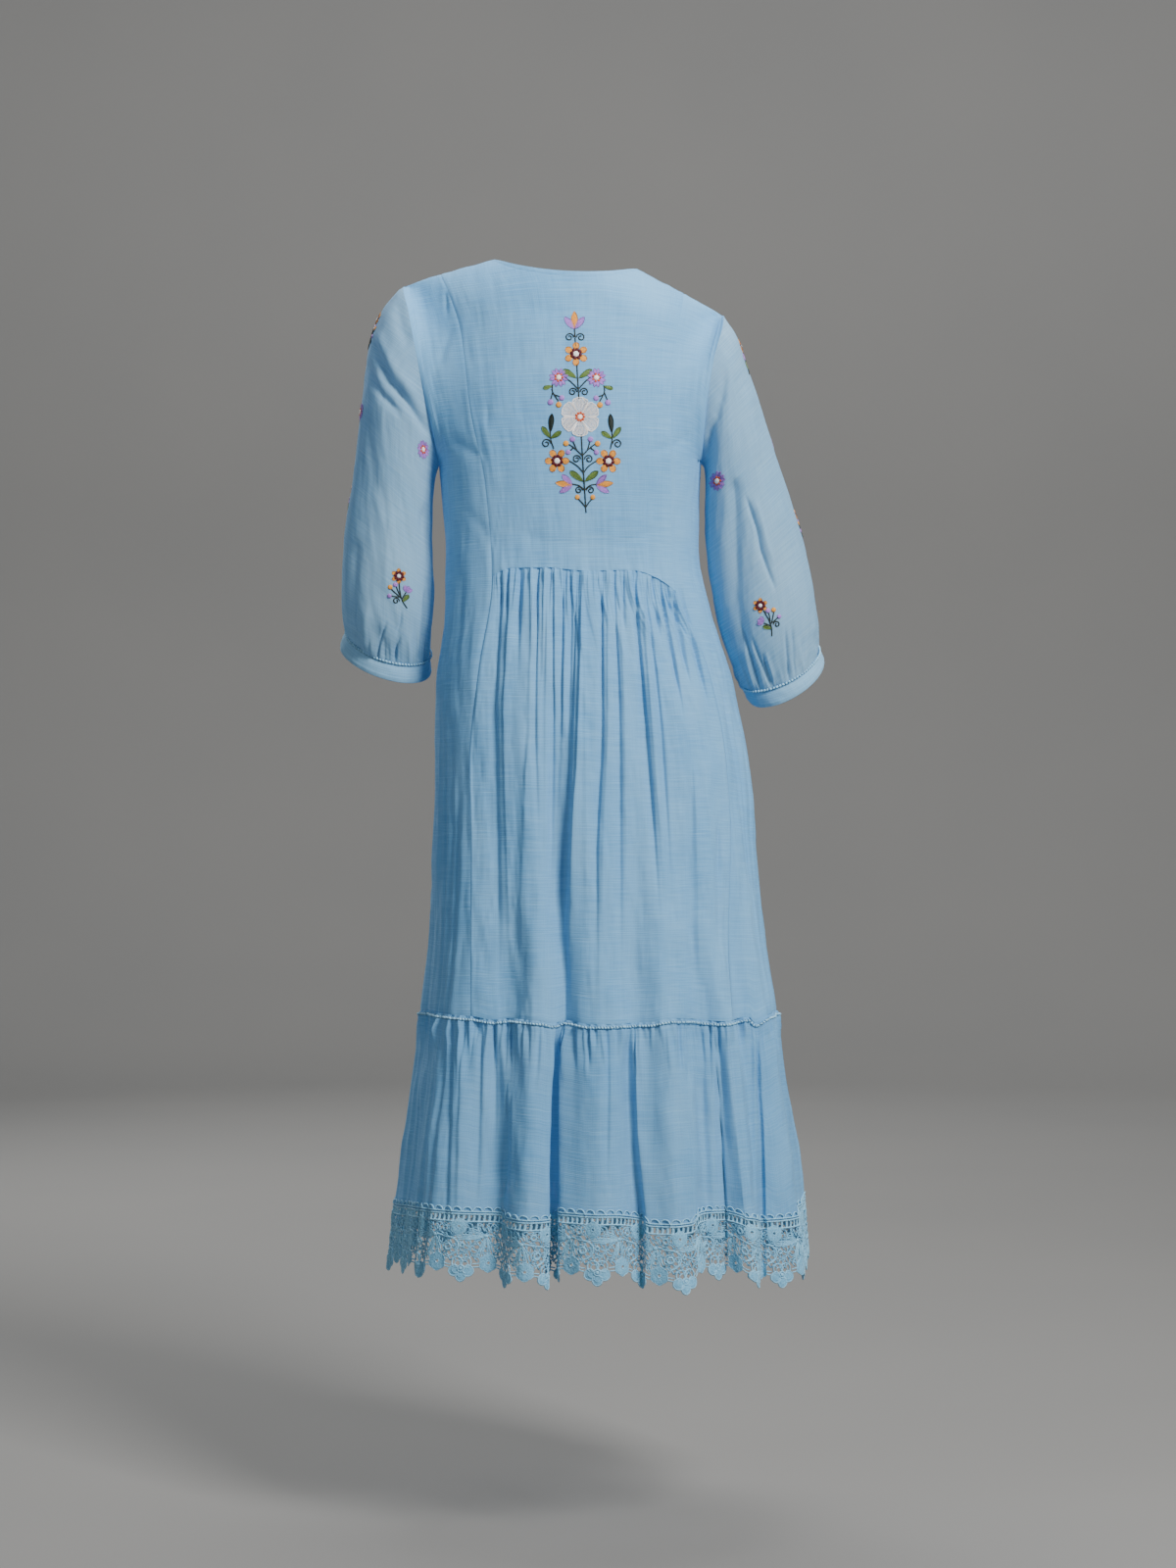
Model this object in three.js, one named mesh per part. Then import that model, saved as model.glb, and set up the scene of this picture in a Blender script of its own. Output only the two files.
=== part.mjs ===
// A worn A-line midi dress, as hollow walls of cloth with no wearer inside.
//
// Units are millimetres. +Z is up, +X is the wearer's right and +Y is the way the wearer faces, so the
// back of the dress looks along -Y. The origin lies midway between the two points where the shoulder
// seams meet the neck edge, which is where a pair of shoulders carries the dress.
//
// The body is a loft of level sections. A place on it is given by its face (the back or the front), its
// height and an angle: -90 at the wearer's left edge, 0 at the middle and 90 at the right edge.

import * as THREE from "three";

// ---------------------------------------------------------------- driving dimensions

const WALL = 1.5; // the thickness of the cloth walls
const SEAM_SHARE = 0.15; // how far each piece stops short of a seam line, so that pieces are 0.3 apart
const HEAD_SHARE = 0.4; // the same for a sleeve's head, which leaves the body at a sharp angle
const TRIM_RADIUS = 1.8; // the corded braid over the tier seam and the cuff seams
const TRIM_CLEAR = 0.3; // between the braid and the cloth under it
const TRIM_SIDES = 4;

const ARMPIT = -240; // height of the lowest point of both armholes
const TIER_SEAM = -900; // height of the seam between the skirt and the gathered lower tier
const LACE_SEAM = -1122; // height of the seam between the lower tier and the lace border
const LACE_DEPTH = 86; // from that seam to the points of the scallops
const HEM = LACE_SEAM - LACE_DEPTH;
const SCALLOP = 10; // how far the lace rises between two points

const NECK_HALF = 84; // half the width of the neck opening
const BACK_NECK_DIP = 21; // how far the neck edge dips below the shoulders, behind and in front
const FRONT_NECK_DIP = 96;
const SHOULDER_ROUND = 70; // over this drop below the shoulder seam the cloth turns from level to upright

// The outline of the body, a row for each level: the left and right edges, and how far the cloth
// stands behind and in front of the shoulder seams.
const SECTIONS = [
  { z: 20, left: -197, right: 190, back: 60, front: 46 },
  { z: -28, left: -195, right: 190, back: 78, front: 62 },
  { z: -63, left: -187, right: 190, back: 90, front: 74 },
  { z: -119, left: -176, right: 177, back: 104, front: 93 },
  { z: -166, left: -167, right: 169, back: 110, front: 112 },
  { z: -208, left: -158, right: 165, back: 110, front: 122 },
  { z: ARMPIT, left: -152, right: 163, back: 108, front: 124 },
  { z: -300, left: -147, right: 160, back: 102, front: 121 },
  { z: -343, left: -144, right: 160, back: 99, front: 118 },
  { z: -414, left: -145, right: 173, back: 107, front: 119 },
  { z: -509, left: -155, right: 201, back: 122, front: 125 },
  { z: -603, left: -157, right: 219, back: 132, front: 131 },
  { z: -697, left: -158, right: 229, back: 140, front: 139 },
  { z: -792, left: -161, right: 238, back: 150, front: 149 },
  { z: TIER_SEAM, left: -171, right: 254, back: 162, front: 161 },
  { z: -1000, left: -184, right: 267, back: 176, front: 175 },
  { z: -1100, left: -196, right: 280, back: 188, front: 187 },
  { z: HEM, left: -207, right: 289, back: 198, front: 197 },
];
const ROUNDNESS = 2.4; // power of the sections' curve, 2 for an ellipse

// The line of the shoulders. Between the neck points it is the slope that the neck opening cuts off.
const SHOULDER_LINE = [
  { x: -215, z: -40 },
  { x: -195, z: -28 },
  { x: -150, z: -13 },
  { x: -NECK_HALF, z: 5 },
  { x: 0, z: 32 },
  { x: NECK_HALF, z: -6 },
  { x: 142, z: -36 },
  { x: 190, z: -63 },
  { x: 210, z: -80 },
];
const ARMHOLES = {
  left: { side: -1, tip: -28, behind: 62, ahead: 58 },
  right: { side: 1, tip: -63, behind: 62, ahead: 58 },
};

// The two princess seams of the back, from the shoulder seams down to the lower tier.
const PRINCESS_SEAMS = [
  { z: 20, left: -152, right: 146 },
  { z: -13, left: -150, right: 143 },
  { z: -36, left: -141, right: 142 },
  { z: -90, left: -124, right: 133 },
  { z: -190, left: -111, right: 125 },
  { z: -275, left: -94, right: 125 },
  { z: -385, left: -86, right: 128 },
  { z: -495, left: -102, right: 170 },
  { z: -600, left: -112, right: 190 },
  { z: -700, left: -109, right: 196 },
  { z: TIER_SEAM, left: -108, right: 194 },
];
// The curved seam where the back bodice ends and the gathered back skirt hangs from it.
const WAIST_SEAM = [
  { share: 0, z: -382 },
  { share: 0.12, z: -373 },
  { share: 0.3, z: -373 },
  { share: 0.5, z: -377 },
  { share: 0.72, z: -376 },
  { share: 0.88, z: -384 },
  { share: 1, z: -399 },
];

// The largest folds of the skirt: where each lies round the body (0 is the middle of the back, 90 the
// wearer's right side, 180 the middle of the front), how far it stands out at the hem (in where
// negative), its half width in degrees, how far it has drifted round at the waist, and where it starts.
const FOLDS = [
  { at: -76, out: -8, wide: 7, drift: 0, from: -640 },
  { at: -52, out: 7, wide: 8, drift: 0, from: -560 },
  { at: -31, out: -14, wide: 7, drift: -3, from: -420 },
  { at: -20, out: 9, wide: 6, drift: 0, from: -640 },
  { at: -12, out: -26, wide: 4.5, drift: -3, from: -430 },
  { at: 0, out: 8, wide: 7, drift: 0, from: -420 },
  { at: 12, out: -9, wide: 5, drift: 8, from: -430 },
  { at: 20, out: 10, wide: 5, drift: 2, from: -640 },
  { at: 34, out: -17, wide: 5, drift: 3, from: -600 },
  { at: 43, out: 9, wide: 5, drift: 0, from: -640 },
  { at: 52, out: -12, wide: 5, drift: 0, from: -560 },
  { at: 66, out: 9, wide: 7, drift: 0, from: -640 },
  { at: 80, out: -8, wide: 6, drift: 0, from: -620 },
  { at: 99, out: 7, wide: 7, drift: 0, from: -640 },
  { at: 114, out: -13, wide: 6, drift: 0, from: -520 },
  { at: 129, out: 10, wide: 6, drift: 0, from: -480 },
  { at: 143, out: -18, wide: 6, drift: 2, from: -400 },
  { at: 157, out: 10, wide: 7, drift: 0, from: -440 },
  { at: 170, out: -12, wide: 6, drift: 0, from: -340 },
  { at: 183, out: 11, wide: 7, drift: 0, from: -420 },
  { at: 197, out: -20, wide: 6, drift: -2, from: -360 },
  { at: 211, out: 9, wide: 6, drift: 0, from: -460 },
  { at: 224, out: -14, wide: 6, drift: -2, from: -420 },
  { at: 240, out: 9, wide: 7, drift: 0, from: -520 },
  { at: 256, out: -9, wide: 6, drift: 0, from: -560 },
  { at: 268, out: 6, wide: 6, drift: 0, from: -640 },
];

// How far the folds hitch the lace border up above its level, round the hem as in FOLDS.
const LIFTS = [
  { at: -90, up: -2 },
  { at: -49, up: 10 },
  { at: -31, up: 9 },
  { at: -28, up: 5 },
  { at: -14, up: 4 },
  { at: -10, up: 12 },
  { at: 2, up: 12 },
  { at: 12, up: 6 },
  { at: 15, up: 0 },
  { at: 25, up: 1 },
  { at: 28, up: 11 },
  { at: 35, up: 11 },
  { at: 53, up: -4 },
  { at: 90, up: -1 },
  { at: 120, up: 5 },
  { at: 150, up: 1 },
  { at: 180, up: 7 },
  { at: 205, up: 2 },
  { at: 235, up: 6 },
  { at: 270, up: -2 },
];

// The sleeves, a ring for each row after the armhole: its outer and inner points seen from behind, how
// far forward its middle lies, half its depth, and how much lower it is behind than at its sides.
const SLEEVES = {
  left: [
    { outer: [-219, -54], inner: [-155, -247], ahead: 0, half: 66, drop: 0 },
    { outer: [-236, -95], inner: [-158, -260], ahead: 1, half: 65, drop: 1 },
    { outer: [-246, -165], inner: [-161, -288], ahead: 3, half: 61, drop: 3 },
    { outer: [-255, -250], inner: [-161, -328], ahead: 6, half: 58, drop: 6 },
    { outer: [-267, -335], inner: [-159, -377], ahead: 12, half: 60, drop: 12 },
    { outer: [-271, -400], inner: [-161, -426], ahead: 22, half: 60, drop: 20 },
    { outer: [-267, -440], inner: [-165, -470], ahead: 33, half: 50, drop: 24 },
    { outer: [-275, -457], inner: [-164, -491], ahead: 37, half: 53, drop: 25 },
  ],
  right: [
    { outer: [207, -88], inner: [167, -248], ahead: 0, half: 64, drop: 0 },
    { outer: [221, -128], inner: [169, -263], ahead: 1, half: 63, drop: 1 },
    { outer: [239, -185], inner: [169, -296], ahead: 3, half: 60, drop: 3 },
    { outer: [262, -255], inner: [170, -337], ahead: 6, half: 58, drop: 6 },
    { outer: [287, -335], inner: [176, -386], ahead: 12, half: 60, drop: 12 },
    { outer: [303, -410], inner: [188, -446], ahead: 22, half: 60, drop: 20 },
    { outer: [308, -462], inner: [212, -503], ahead: 33, half: 50, drop: 25 },
    { outer: [315, -476], inner: [221, -522], ahead: 37, half: 53, drop: 26 },
  ],
};
const CUFF_SEAM = 6; // the row of SLEEVES where the sleeve ends and the cuff begins

// How finely the faceted walls follow these shapes.
const ARMHOLE_STEPS = 8; // from the shoulder tip to the armpit, behind or in front
const BODICE_LEVELS = [ARMPIT, -312]; // then the waist seam
const SKIRT_LEVELS = [-465, -570, -680, -790, TIER_SEAM];
const TIER_LEVELS = [TIER_SEAM, -945, -1010, LACE_SEAM];
const SIDE_COLUMNS = 10; // across each princess panel
const CENTRE_COLUMNS = [4, 11, 4]; // shoulder to neck point, neck opening, neck point to shoulder
const FRONT_COLUMNS = [13, 13, 13];
const COLUMNS_PER_SCALLOP = 3; // so that the back and the front have 13 scallops each

const CLOTH = { color: 0x7fb2d6, roughness: 0.85 };
const TRIM = { color: 0x9ccbe4, roughness: 0.7 };
const LACE = { color: 0x6fa9cf, roughness: 0.8 };

// ---------------------------------------------------------------- numbers

const lerp = THREE.MathUtils.lerp;
const smoothstep = THREE.MathUtils.smoothstep;
const radians = THREE.MathUtils.degToRad;

// The value of a table's column at a place, on a smooth curve that never overshoots its rows.
function along(table, key, column, place) {
  const rows = table[0][key] < table.at(-1)[key] ? table : [...table].reverse();
  if (place <= rows[0][key]) return rows[0][column];
  if (place >= rows.at(-1)[key]) return rows.at(-1)[column];
  const i = rows.findIndex((row) => row[key] > place) - 1;
  const slope = (k) =>
    (rows[k + 1][column] - rows[k][column]) / (rows[k + 1][key] - rows[k][key]);
  const tangent = (k) => {
    if (k === 0) return slope(0);
    if (k === rows.length - 1) return slope(k - 1);
    const [a, b] = [slope(k - 1), slope(k)];
    return a * b <= 0 ? 0 : (2 * a * b) / (a + b);
  };
  const span = rows[i + 1][key] - rows[i][key];
  const t = (place - rows[i][key]) / span;
  return (
    rows[i][column] * (1 + 2 * t) * (1 - t) ** 2 +
    rows[i + 1][column] * t * t * (3 - 2 * t) +
    span * (tangent(i) * t * (1 - t) ** 2 - tangent(i + 1) * t * t * (1 - t))
  );
}

const shoulderLine = (x) => along(SHOULDER_LINE, "x", "z", x);

// How deep an armhole is at a level, as a share of its greatest depth.
function armholeShare(armhole, z) {
  const middle = (armhole.tip + ARMPIT) / 2;
  const half = (armhole.tip - ARMPIT) / 2;
  return Math.sqrt(Math.max(0, 1 - ((z - middle) / half) ** 2));
}

// ---------------------------------------------------------------- the body's surface

const BACK = -1;
const FRONT = 1;

function edges(z) {
  const left = along(SECTIONS, "z", "left", z);
  const right = along(SECTIONS, "z", "right", z);
  return { middle: (left + right) / 2, half: (right - left) / 2 };
}

// The angle on a section at which it passes a given x.
function angleOf(x, z) {
  const { middle, half } = edges(z);
  return THREE.MathUtils.radToDeg(
    Math.asin(THREE.MathUtils.clamp((x - middle) / half, -1, 1)),
  );
}

// How far the folds move the cloth outwards.
function foldOut(face, angle, z) {
  const place = face === BACK ? angle : 180 - angle;
  let out = 0;
  for (const fold of FOLDS) {
    const grown = smoothstep(-z, -fold.from, -HEM) ** 0.7;
    const centre = fold.at + fold.drift * smoothstep(z, TIER_SEAM, -400);
    const away = ((((place - centre + 180) % 360) + 360) % 360) - 180;
    out += fold.out * grown * Math.exp(-((away / fold.wide) ** 2));
  }
  return out;
}

function bodyPoint(face, angle, z) {
  const { middle, half } = edges(z);
  const sine = Math.sin(radians(angle));
  const x = middle + half * sine;
  const armhole = sine < 0 ? ARMHOLES.left : ARMHOLES.right;
  const edge =
    (face === BACK ? armhole.behind : armhole.ahead) *
    (z > ARMPIT ? armholeShare(armhole, z) : 0) *
    Math.abs(sine) ** 3;
  const depth = along(SECTIONS, "z", face === BACK ? "back" : "front", z);
  // Under the arms a section turns square to its edges; across the shoulders it meets them at a slope.
  const power = lerp(1 / ROUNDNESS, 1, smoothstep(z, ARMPIT, -60));
  const arch = Math.max(0, 1 - Math.abs(sine) ** ROUNDNESS) ** power;
  const drop = THREE.MathUtils.clamp((shoulderLine(x) - z) / SHOULDER_ROUND, 0, 1);
  const shoulder = Math.sqrt(1 - (1 - drop) ** 2);
  const y = edge + (depth - edge) * arch * shoulder;
  // A fold moves the cloth straight away from the middle of the section.
  const out = foldOut(face, angle, z);
  const turn = Math.hypot(sine, Math.cos(radians(angle)));
  return new THREE.Vector3(
    x + (out * sine) / turn,
    face * (y + (out * Math.cos(radians(angle))) / turn),
    z,
  );
}

// The direction square to the body's surface, outwards.
function bodyNormal(face, angle, z) {
  const x = bodyPoint(face, angle, z).x;
  if (shoulderLine(x) - z < 0.5) {
    const slope = shoulderLine(x + 1) - shoulderLine(x - 1);
    return new THREE.Vector3(-slope / 2, 0, 1).normalize();
  }
  const turn = 0.5;
  const rise = 0.4;
  // An edge at 90 degrees goes on round the other face.
  const beside = (a) =>
    Math.abs(a) <= 90
      ? bodyPoint(face, a, z)
      : bodyPoint(z > ARMPIT ? face : -face, Math.sign(a) * (180 - Math.abs(a)), z);
  const [low, high] = Math.abs(angle) + turn > 90 && z > ARMPIT
    ? [Math.max(angle - turn, -90), Math.min(angle + turn, 90)]
    : [angle - turn, angle + turn];
  const across = beside(high).sub(beside(low));
  const up = bodyPoint(face, angle, z + rise).sub(bodyPoint(face, angle, z - rise));
  return across.cross(up).multiplyScalar(-face).normalize();
}

// ---------------------------------------------------------------- closed walls from grids

// A grid is rows of places, each a point on the outside and the direction outwards there. The wall
// behind it is a closed solid. A ring's rows join up with themselves.
function wall(grid, ring = false) {
  const rows = grid.length;
  const columns = grid[0].length;
  const positions = [];
  const index = (layer, i, j) => (layer * rows + i) * columns + (j % columns);
  for (const layer of [0, 1])
    for (const row of grid)
      for (const { point, normal } of row)
        positions.push(...point.clone().addScaledVector(normal, -WALL * layer));
  const triangles = [];
  const quad = (a, b, c, d) => triangles.push(a, b, c, a, c, d);
  // A quad of the rim is split at whichever of its outer corners lies further along one direction, so
  // that the two pieces that meet at a seam are split alike.
  const reach = (a) => positions[3 * a] / 3 + positions[3 * a + 1] / 5 + positions[3 * a + 2];
  const rim = (outer, nextOuter, nextInner, inner) =>
    reach(outer) > reach(nextOuter)
      ? quad(outer, nextOuter, nextInner, inner)
      : quad(nextOuter, nextInner, inner, outer);
  const cells = ring ? columns : columns - 1;
  for (let i = 0; i < rows - 1; i++)
    for (let j = 0; j < cells; j++) {
      quad(index(0, i, j), index(0, i + 1, j), index(0, i + 1, j + 1), index(0, i, j + 1));
      quad(index(1, i, j), index(1, i, j + 1), index(1, i + 1, j + 1), index(1, i + 1, j));
    }
  for (let j = 0; j < cells; j++) {
    const last = rows - 1;
    rim(index(0, 0, j), index(0, 0, j + 1), index(1, 0, j + 1), index(1, 0, j));
    rim(index(0, last, j + 1), index(0, last, j), index(1, last, j), index(1, last, j + 1));
  }
  for (let i = 0; i < rows - 1 && !ring; i++) {
    const last = columns - 1;
    rim(index(0, i + 1, 0), index(0, i, 0), index(1, i, 0), index(1, i + 1, 0));
    rim(index(0, i, last), index(0, i + 1, last), index(1, i + 1, last), index(1, i, last));
  }
  return facing(positions, triangles);
}

// The geometry with its faces turned outwards, whichever way its grid ran.
function facing(positions, triangles) {
  const corner = (k) => new THREE.Vector3().fromArray(positions, 3 * triangles[k]);
  let volume = 0;
  for (let k = 0; k < triangles.length; k += 3)
    volume += corner(k).dot(corner(k + 1).cross(corner(k + 2)));
  if (volume < 0) triangles.reverse();
  const geometry = new THREE.BufferGeometry();
  geometry.setAttribute("position", new THREE.Float32BufferAttribute(positions, 3));
  geometry.setIndex(triangles);
  return geometry;
}

// Draws a grid's edges back from the seam lines, along the cloth and square to the seam.
function trimmed(grid, ring = false, head = SEAM_SHARE) {
  const [last, end] = [grid.length - 1, grid[0].length - 1];
  const at = (i, j) => {
    const column = ring ? (j + end + 1) % (end + 1) : THREE.MathUtils.clamp(j, 0, end);
    return grid[THREE.MathUtils.clamp(i, 0, last)][column].point;
  };
  const rows = grid.map((row) => row.map(({ point, normal }) => ({ point: point.clone(), normal })));
  const drawBack = (i, j, inside, seam, by = SEAM_SHARE) => {
    const step = inside.clone().sub(at(i, j));
    step.addScaledVector(seam, -step.dot(seam) / seam.lengthSq());
    rows[i][j].point.addScaledVector(step.normalize(), by);
  };
  for (let i = 0; i <= last && !ring; i++) {
    drawBack(i, 0, at(i, 1), at(i + 1, 0).clone().sub(at(i - 1, 0)));
    drawBack(i, end, at(i, end - 1), at(i + 1, end).clone().sub(at(i - 1, end)));
  }
  for (let j = 0; j <= end; j++) {
    drawBack(0, j, at(1, j), at(0, j + 1).clone().sub(at(0, j - 1)), head);
    drawBack(last, j, at(last - 1, j), at(last, j + 1).clone().sub(at(last, j - 1)));
  }
  return rows;
}

// A round cord lying on a closed line of places, square to the line and to the cloth under it.
function cordOn(line) {
  const count = line.length;
  const positions = [];
  line.forEach(({ point, normal }, i) => {
    const ahead = line[(i + 1) % count].point.clone().sub(line[(i + count - 1) % count].point);
    const side = ahead.cross(normal).normalize();
    const middle = point.clone().addScaledVector(normal, TRIM_RADIUS + TRIM_CLEAR);
    for (let k = 0; k < TRIM_SIDES; k++) {
      const turn = (2 * Math.PI * k) / TRIM_SIDES;
      positions.push(
        ...middle
          .clone()
          .addScaledVector(normal, TRIM_RADIUS * -Math.cos(turn) * 0.9)
          .addScaledVector(side, TRIM_RADIUS * Math.sin(turn)),
      );
    }
  });
  const index = (i, k) => (i % count) * TRIM_SIDES + (k % TRIM_SIDES);
  const triangles = [];
  for (let i = 0; i < count; i++)
    for (let k = 0; k < TRIM_SIDES; k++)
      triangles.push(
        index(i, k), index(i + 1, k), index(i + 1, k + 1),
        index(i, k), index(i + 1, k + 1), index(i, k + 1),
      );
  return facing(positions, triangles);
}

// ---------------------------------------------------------------- the body's panels

// The direction outwards at an armhole. Over its upper half the body and the sleeve share it, so that
// their walls meet in a mitre there.
function armholeNormal(own, other, down) {
  return own.clone().addScaledVector(other, 1 - smoothstep(down, 0.55, 0.95)).normalize();
}

// How far down a bodice the rows of its armhole lie, as shares from its top edge to the armpit.
const armholeShares = Array.from(
  { length: ARMHOLE_STEPS + 1 },
  (_, i) => (1 - Math.cos((Math.PI * i) / ARMHOLE_STEPS)) / 2,
);

const spread = (counts, stops) => {
  const places = [stops[0]];
  counts.forEach((count, k) => {
    for (let i = 1; i <= count; i++) places.push(lerp(stops[k], stops[k + 1], i / count));
  });
  return places;
};

// The place on the body that lies on a top edge, a share of the way between two seam angles.
function topPlace(share, angles, topEdge) {
  let z = 0;
  let angle = 0;
  for (let step = 0; step < 30; step++) {
    const [low, high] = angles(z);
    angle = lerp(low, high, share);
    const { middle, half } = edges(z);
    z = topEdge(middle + half * Math.sin(radians(angle)));
  }
  return { angle, z };
}

// The shoulder seams with the neck edge between them.
const topEdge = (dip) => (x) => {
  const across = x / NECK_HALF;
  if (Math.abs(across) >= 1) return shoulderLine(x);
  const chord = lerp(shoulderLine(-NECK_HALF), shoulderLine(NECK_HALF), (across + 1) / 2);
  return chord - dip * (1 - across ** 2) ** 0.7;
};

// Rows of places for a panel between two seam angles. Its levels run from the top edge to the armpit
// and on down to the levels given, each a height or a function of the share across.
function panel({ face, angles, shares, dip = 0, levels }) {
  const heightAt = (level, share) => (typeof level === "function" ? level(share) : level);
  const tops = shares.map((share) => topPlace(share, angles, topEdge(dip)));
  const upper = armholeShares.slice(0, -1).map((down) =>
    shares.map((_, j) => lerp(tops[j].z, ARMPIT, down)),
  );
  const lower = levels.map((level) => shares.map((share) => heightAt(level, share)));
  return [...upper, ...lower].map((heights) =>
    heights.map((z, j) => {
      const [low, high] = angles(z);
      return place(face, lerp(low, high, shares[j]), z);
    }),
  );
}

// A place on the body, with the direction outwards there.
function place(face, angle, z) {
  const point = bodyPoint(face, angle, z);
  const normal = bodyNormal(face, angle, z);
  if (Math.abs(angle) < 90 || z <= ARMPIT) return { point, normal };
  const side = angle < 0 ? "left" : "right";
  const { tip } = ARMHOLES[side];
  const down = (tip - z) / (tip - ARMPIT);
  const turn = -face * Math.acos(THREE.MathUtils.clamp(1 - 2 * down, -1, 1));
  return { point, normal: armholeNormal(normal, sleeveNormal(side, 0, turn), down) };
}

// Only the rows below the armpit, for a panel that hangs from the waist seam.
function hangingPanel({ face, angles, shares, levels }) {
  return levels.map((level) =>
    shares.map((share) => {
      const z = typeof level === "function" ? level(share) : level;
      const [low, high] = angles(z);
      return place(face, lerp(low, high, share), z);
    }),
  );
}

const princess = (side, z) => angleOf(along(PRINCESS_SEAMS, "z", side, z), z);
const betweenPrincesses = (z) => [princess("left", z), princess("right", z)];
const waistSeam = (share) => along(WAIST_SEAM, "share", "z", share);

// The share across the centre panel at which its top edge reaches a neck point.
function neckShare(x) {
  const z = shoulderLine(x);
  const [low, high] = betweenPrincesses(z);
  return (angleOf(x, z) - low) / (high - low);
}

const centreShares = spread(CENTRE_COLUMNS, [0, neckShare(-NECK_HALF), neckShare(NECK_HALF), 1]);

function backBodice() {
  return panel({
    face: BACK,
    angles: betweenPrincesses,
    shares: centreShares,
    dip: BACK_NECK_DIP,
    levels: [...BODICE_LEVELS, waistSeam],
  });
}

function backSkirt() {
  return hangingPanel({
    face: BACK,
    angles: betweenPrincesses,
    shares: centreShares,
    levels: [waistSeam, ...SKIRT_LEVELS],
  });
}

function sideBack(side) {
  const outer = side === "left" ? -90 : 90;
  const seamEnd = waistSeam(side === "left" ? 0 : 1);
  return panel({
    face: BACK,
    angles: (z) => (side === "left" ? [outer, princess(side, z)] : [princess(side, z), outer]),
    shares: spread([SIDE_COLUMNS], [0, 1]),
    levels: [...BODICE_LEVELS, seamEnd, ...SKIRT_LEVELS],
  });
}

const acrossFront = (x) => (angleOf(x, shoulderLine(x)) + 90) / 180;
const frontShares = spread(FRONT_COLUMNS, [0, acrossFront(-NECK_HALF), acrossFront(NECK_HALF), 1]);

function front() {
  return panel({
    face: FRONT,
    angles: () => [-90, 90],
    shares: frontShares,
    dip: FRONT_NECK_DIP,
    levels: [
      ...BODICE_LEVELS,
      // The side seams share their heights with the two back panels, so this row slopes across.
      (across) => lerp(waistSeam(0), waistSeam(1), across),
      ...SKIRT_LEVELS,
    ],
  });
}

// ---------------------------------------------------------------- the lower tier and its lace

// The tier's columns carry on those of the panels above it: across the back, then across the front.
function tierAngles(face) {
  if (face === FRONT) return frontShares.map((share) => lerp(-90, 90, share));
  const [low, high] = betweenPrincesses(TIER_SEAM);
  return [
    ...spread([SIDE_COLUMNS], [-90, low]).slice(0, -1),
    ...centreShares.map((share) => lerp(low, high, share)),
    ...spread([SIDE_COLUMNS], [high, 90]).slice(1),
  ];
}

// Rows of places over the back or the front half, from its left edge to its right. Each level is a
// height, which the folds lift more the lower it lies, or a function of the column.
function tierHalf(face, levels) {
  return levels.map((level) =>
    tierAngles(face).map((angle, column) => {
      const z = typeof level === "function" ? level(column) : level;
      const share = THREE.MathUtils.clamp((TIER_SEAM - z) / (TIER_SEAM - LACE_SEAM), 0, 1);
      const up = along(LIFTS, "at", "up", face === BACK ? angle : 180 - angle);
      return place(face, angle, z + up * share);
    }),
  );
}

// Rows of places all the way round: across the back, then back along the front.
function tierRound(levels) {
  const behind = tierHalf(BACK, levels);
  const ahead = tierHalf(FRONT, levels);
  return behind.map((row, i) => [...row.slice(0, -1), ...[...ahead[i]].reverse().slice(0, -1)]);
}

function laceBorder() {
  const scalloped = (column) => {
    const part = (column / COLUMNS_PER_SCALLOP) % 1;
    return HEM + SCALLOP * (2 * part - 1) ** 2;
  };
  return tierRound([LACE_SEAM, scalloped]);
}

// ---------------------------------------------------------------- the sleeves

const RING = 2 * ARMHOLE_STEPS;

// A point of a sleeve, at a turn that starts at the shoulder tip and goes round behind the arm. Ring 0
// is the armhole and ring n the row n - 1 of the sleeve's table.
function sleevePoint(side, ring, turn) {
  const [cosine, sine] = [Math.cos(turn), Math.sin(turn)];
  if (ring === 0) {
    const armhole = ARMHOLES[side];
    const z = lerp(armhole.tip, ARMPIT, (1 - cosine) / 2);
    const reach = sine > 0 ? armhole.behind : armhole.ahead;
    return new THREE.Vector3(along(SECTIONS, "z", side, z), -reach * sine, z);
  }
  const { outer, inner, ahead, half, drop } = SLEEVES[side][ring - 1];
  return new THREE.Vector3(
    (outer[0] + inner[0]) / 2 + ((outer[0] - inner[0]) / 2) * cosine,
    ahead - half * sine,
    (outer[1] + inner[1]) / 2 + ((outer[1] - inner[1]) / 2) * cosine - drop * sine,
  );
}

function sleeveNormal(side, ring, turn) {
  const count = SLEEVES[side].length;
  const half = Math.PI / RING;
  const around = sleevePoint(side, ring, turn + half).sub(sleevePoint(side, ring, turn - half));
  const down = sleevePoint(side, Math.min(ring + 1, count), turn).sub(
    sleevePoint(side, Math.max(ring - 1, 0), turn),
  );
  return around.cross(down).multiplyScalar(ARMHOLES[side].side).normalize();
}

// Rings of places from one ring of a sleeve to another.
function sleeveRings(side, first, last) {
  const rings = [];
  for (let ring = first; ring <= last; ring++) {
    const row = [];
    for (let k = 0; k < RING; k++) {
      const turn = (2 * Math.PI * k) / RING;
      const point = sleevePoint(side, ring, turn);
      let normal = sleeveNormal(side, ring, turn);
      if (ring === 0) {
        const face = Math.sin(turn) < 0 ? FRONT : BACK;
        const body = bodyNormal(face, ARMHOLES[side].side * 90, point.z);
        normal = armholeNormal(normal, body, (1 - Math.cos(turn)) / 2);
      }
      row.push({ point, normal });
    }
    rings.push(row);
  }
  return rings;
}

// ---------------------------------------------------------------- the dress

const dress = new THREE.Group();

function add(name, geometry, finish) {
  const mesh = new THREE.Mesh(
    geometry,
    new THREE.MeshStandardMaterial({ metalness: 0, side: THREE.FrontSide, ...finish }),
  );
  mesh.name = name;
  dress.add(mesh);
}

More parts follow.
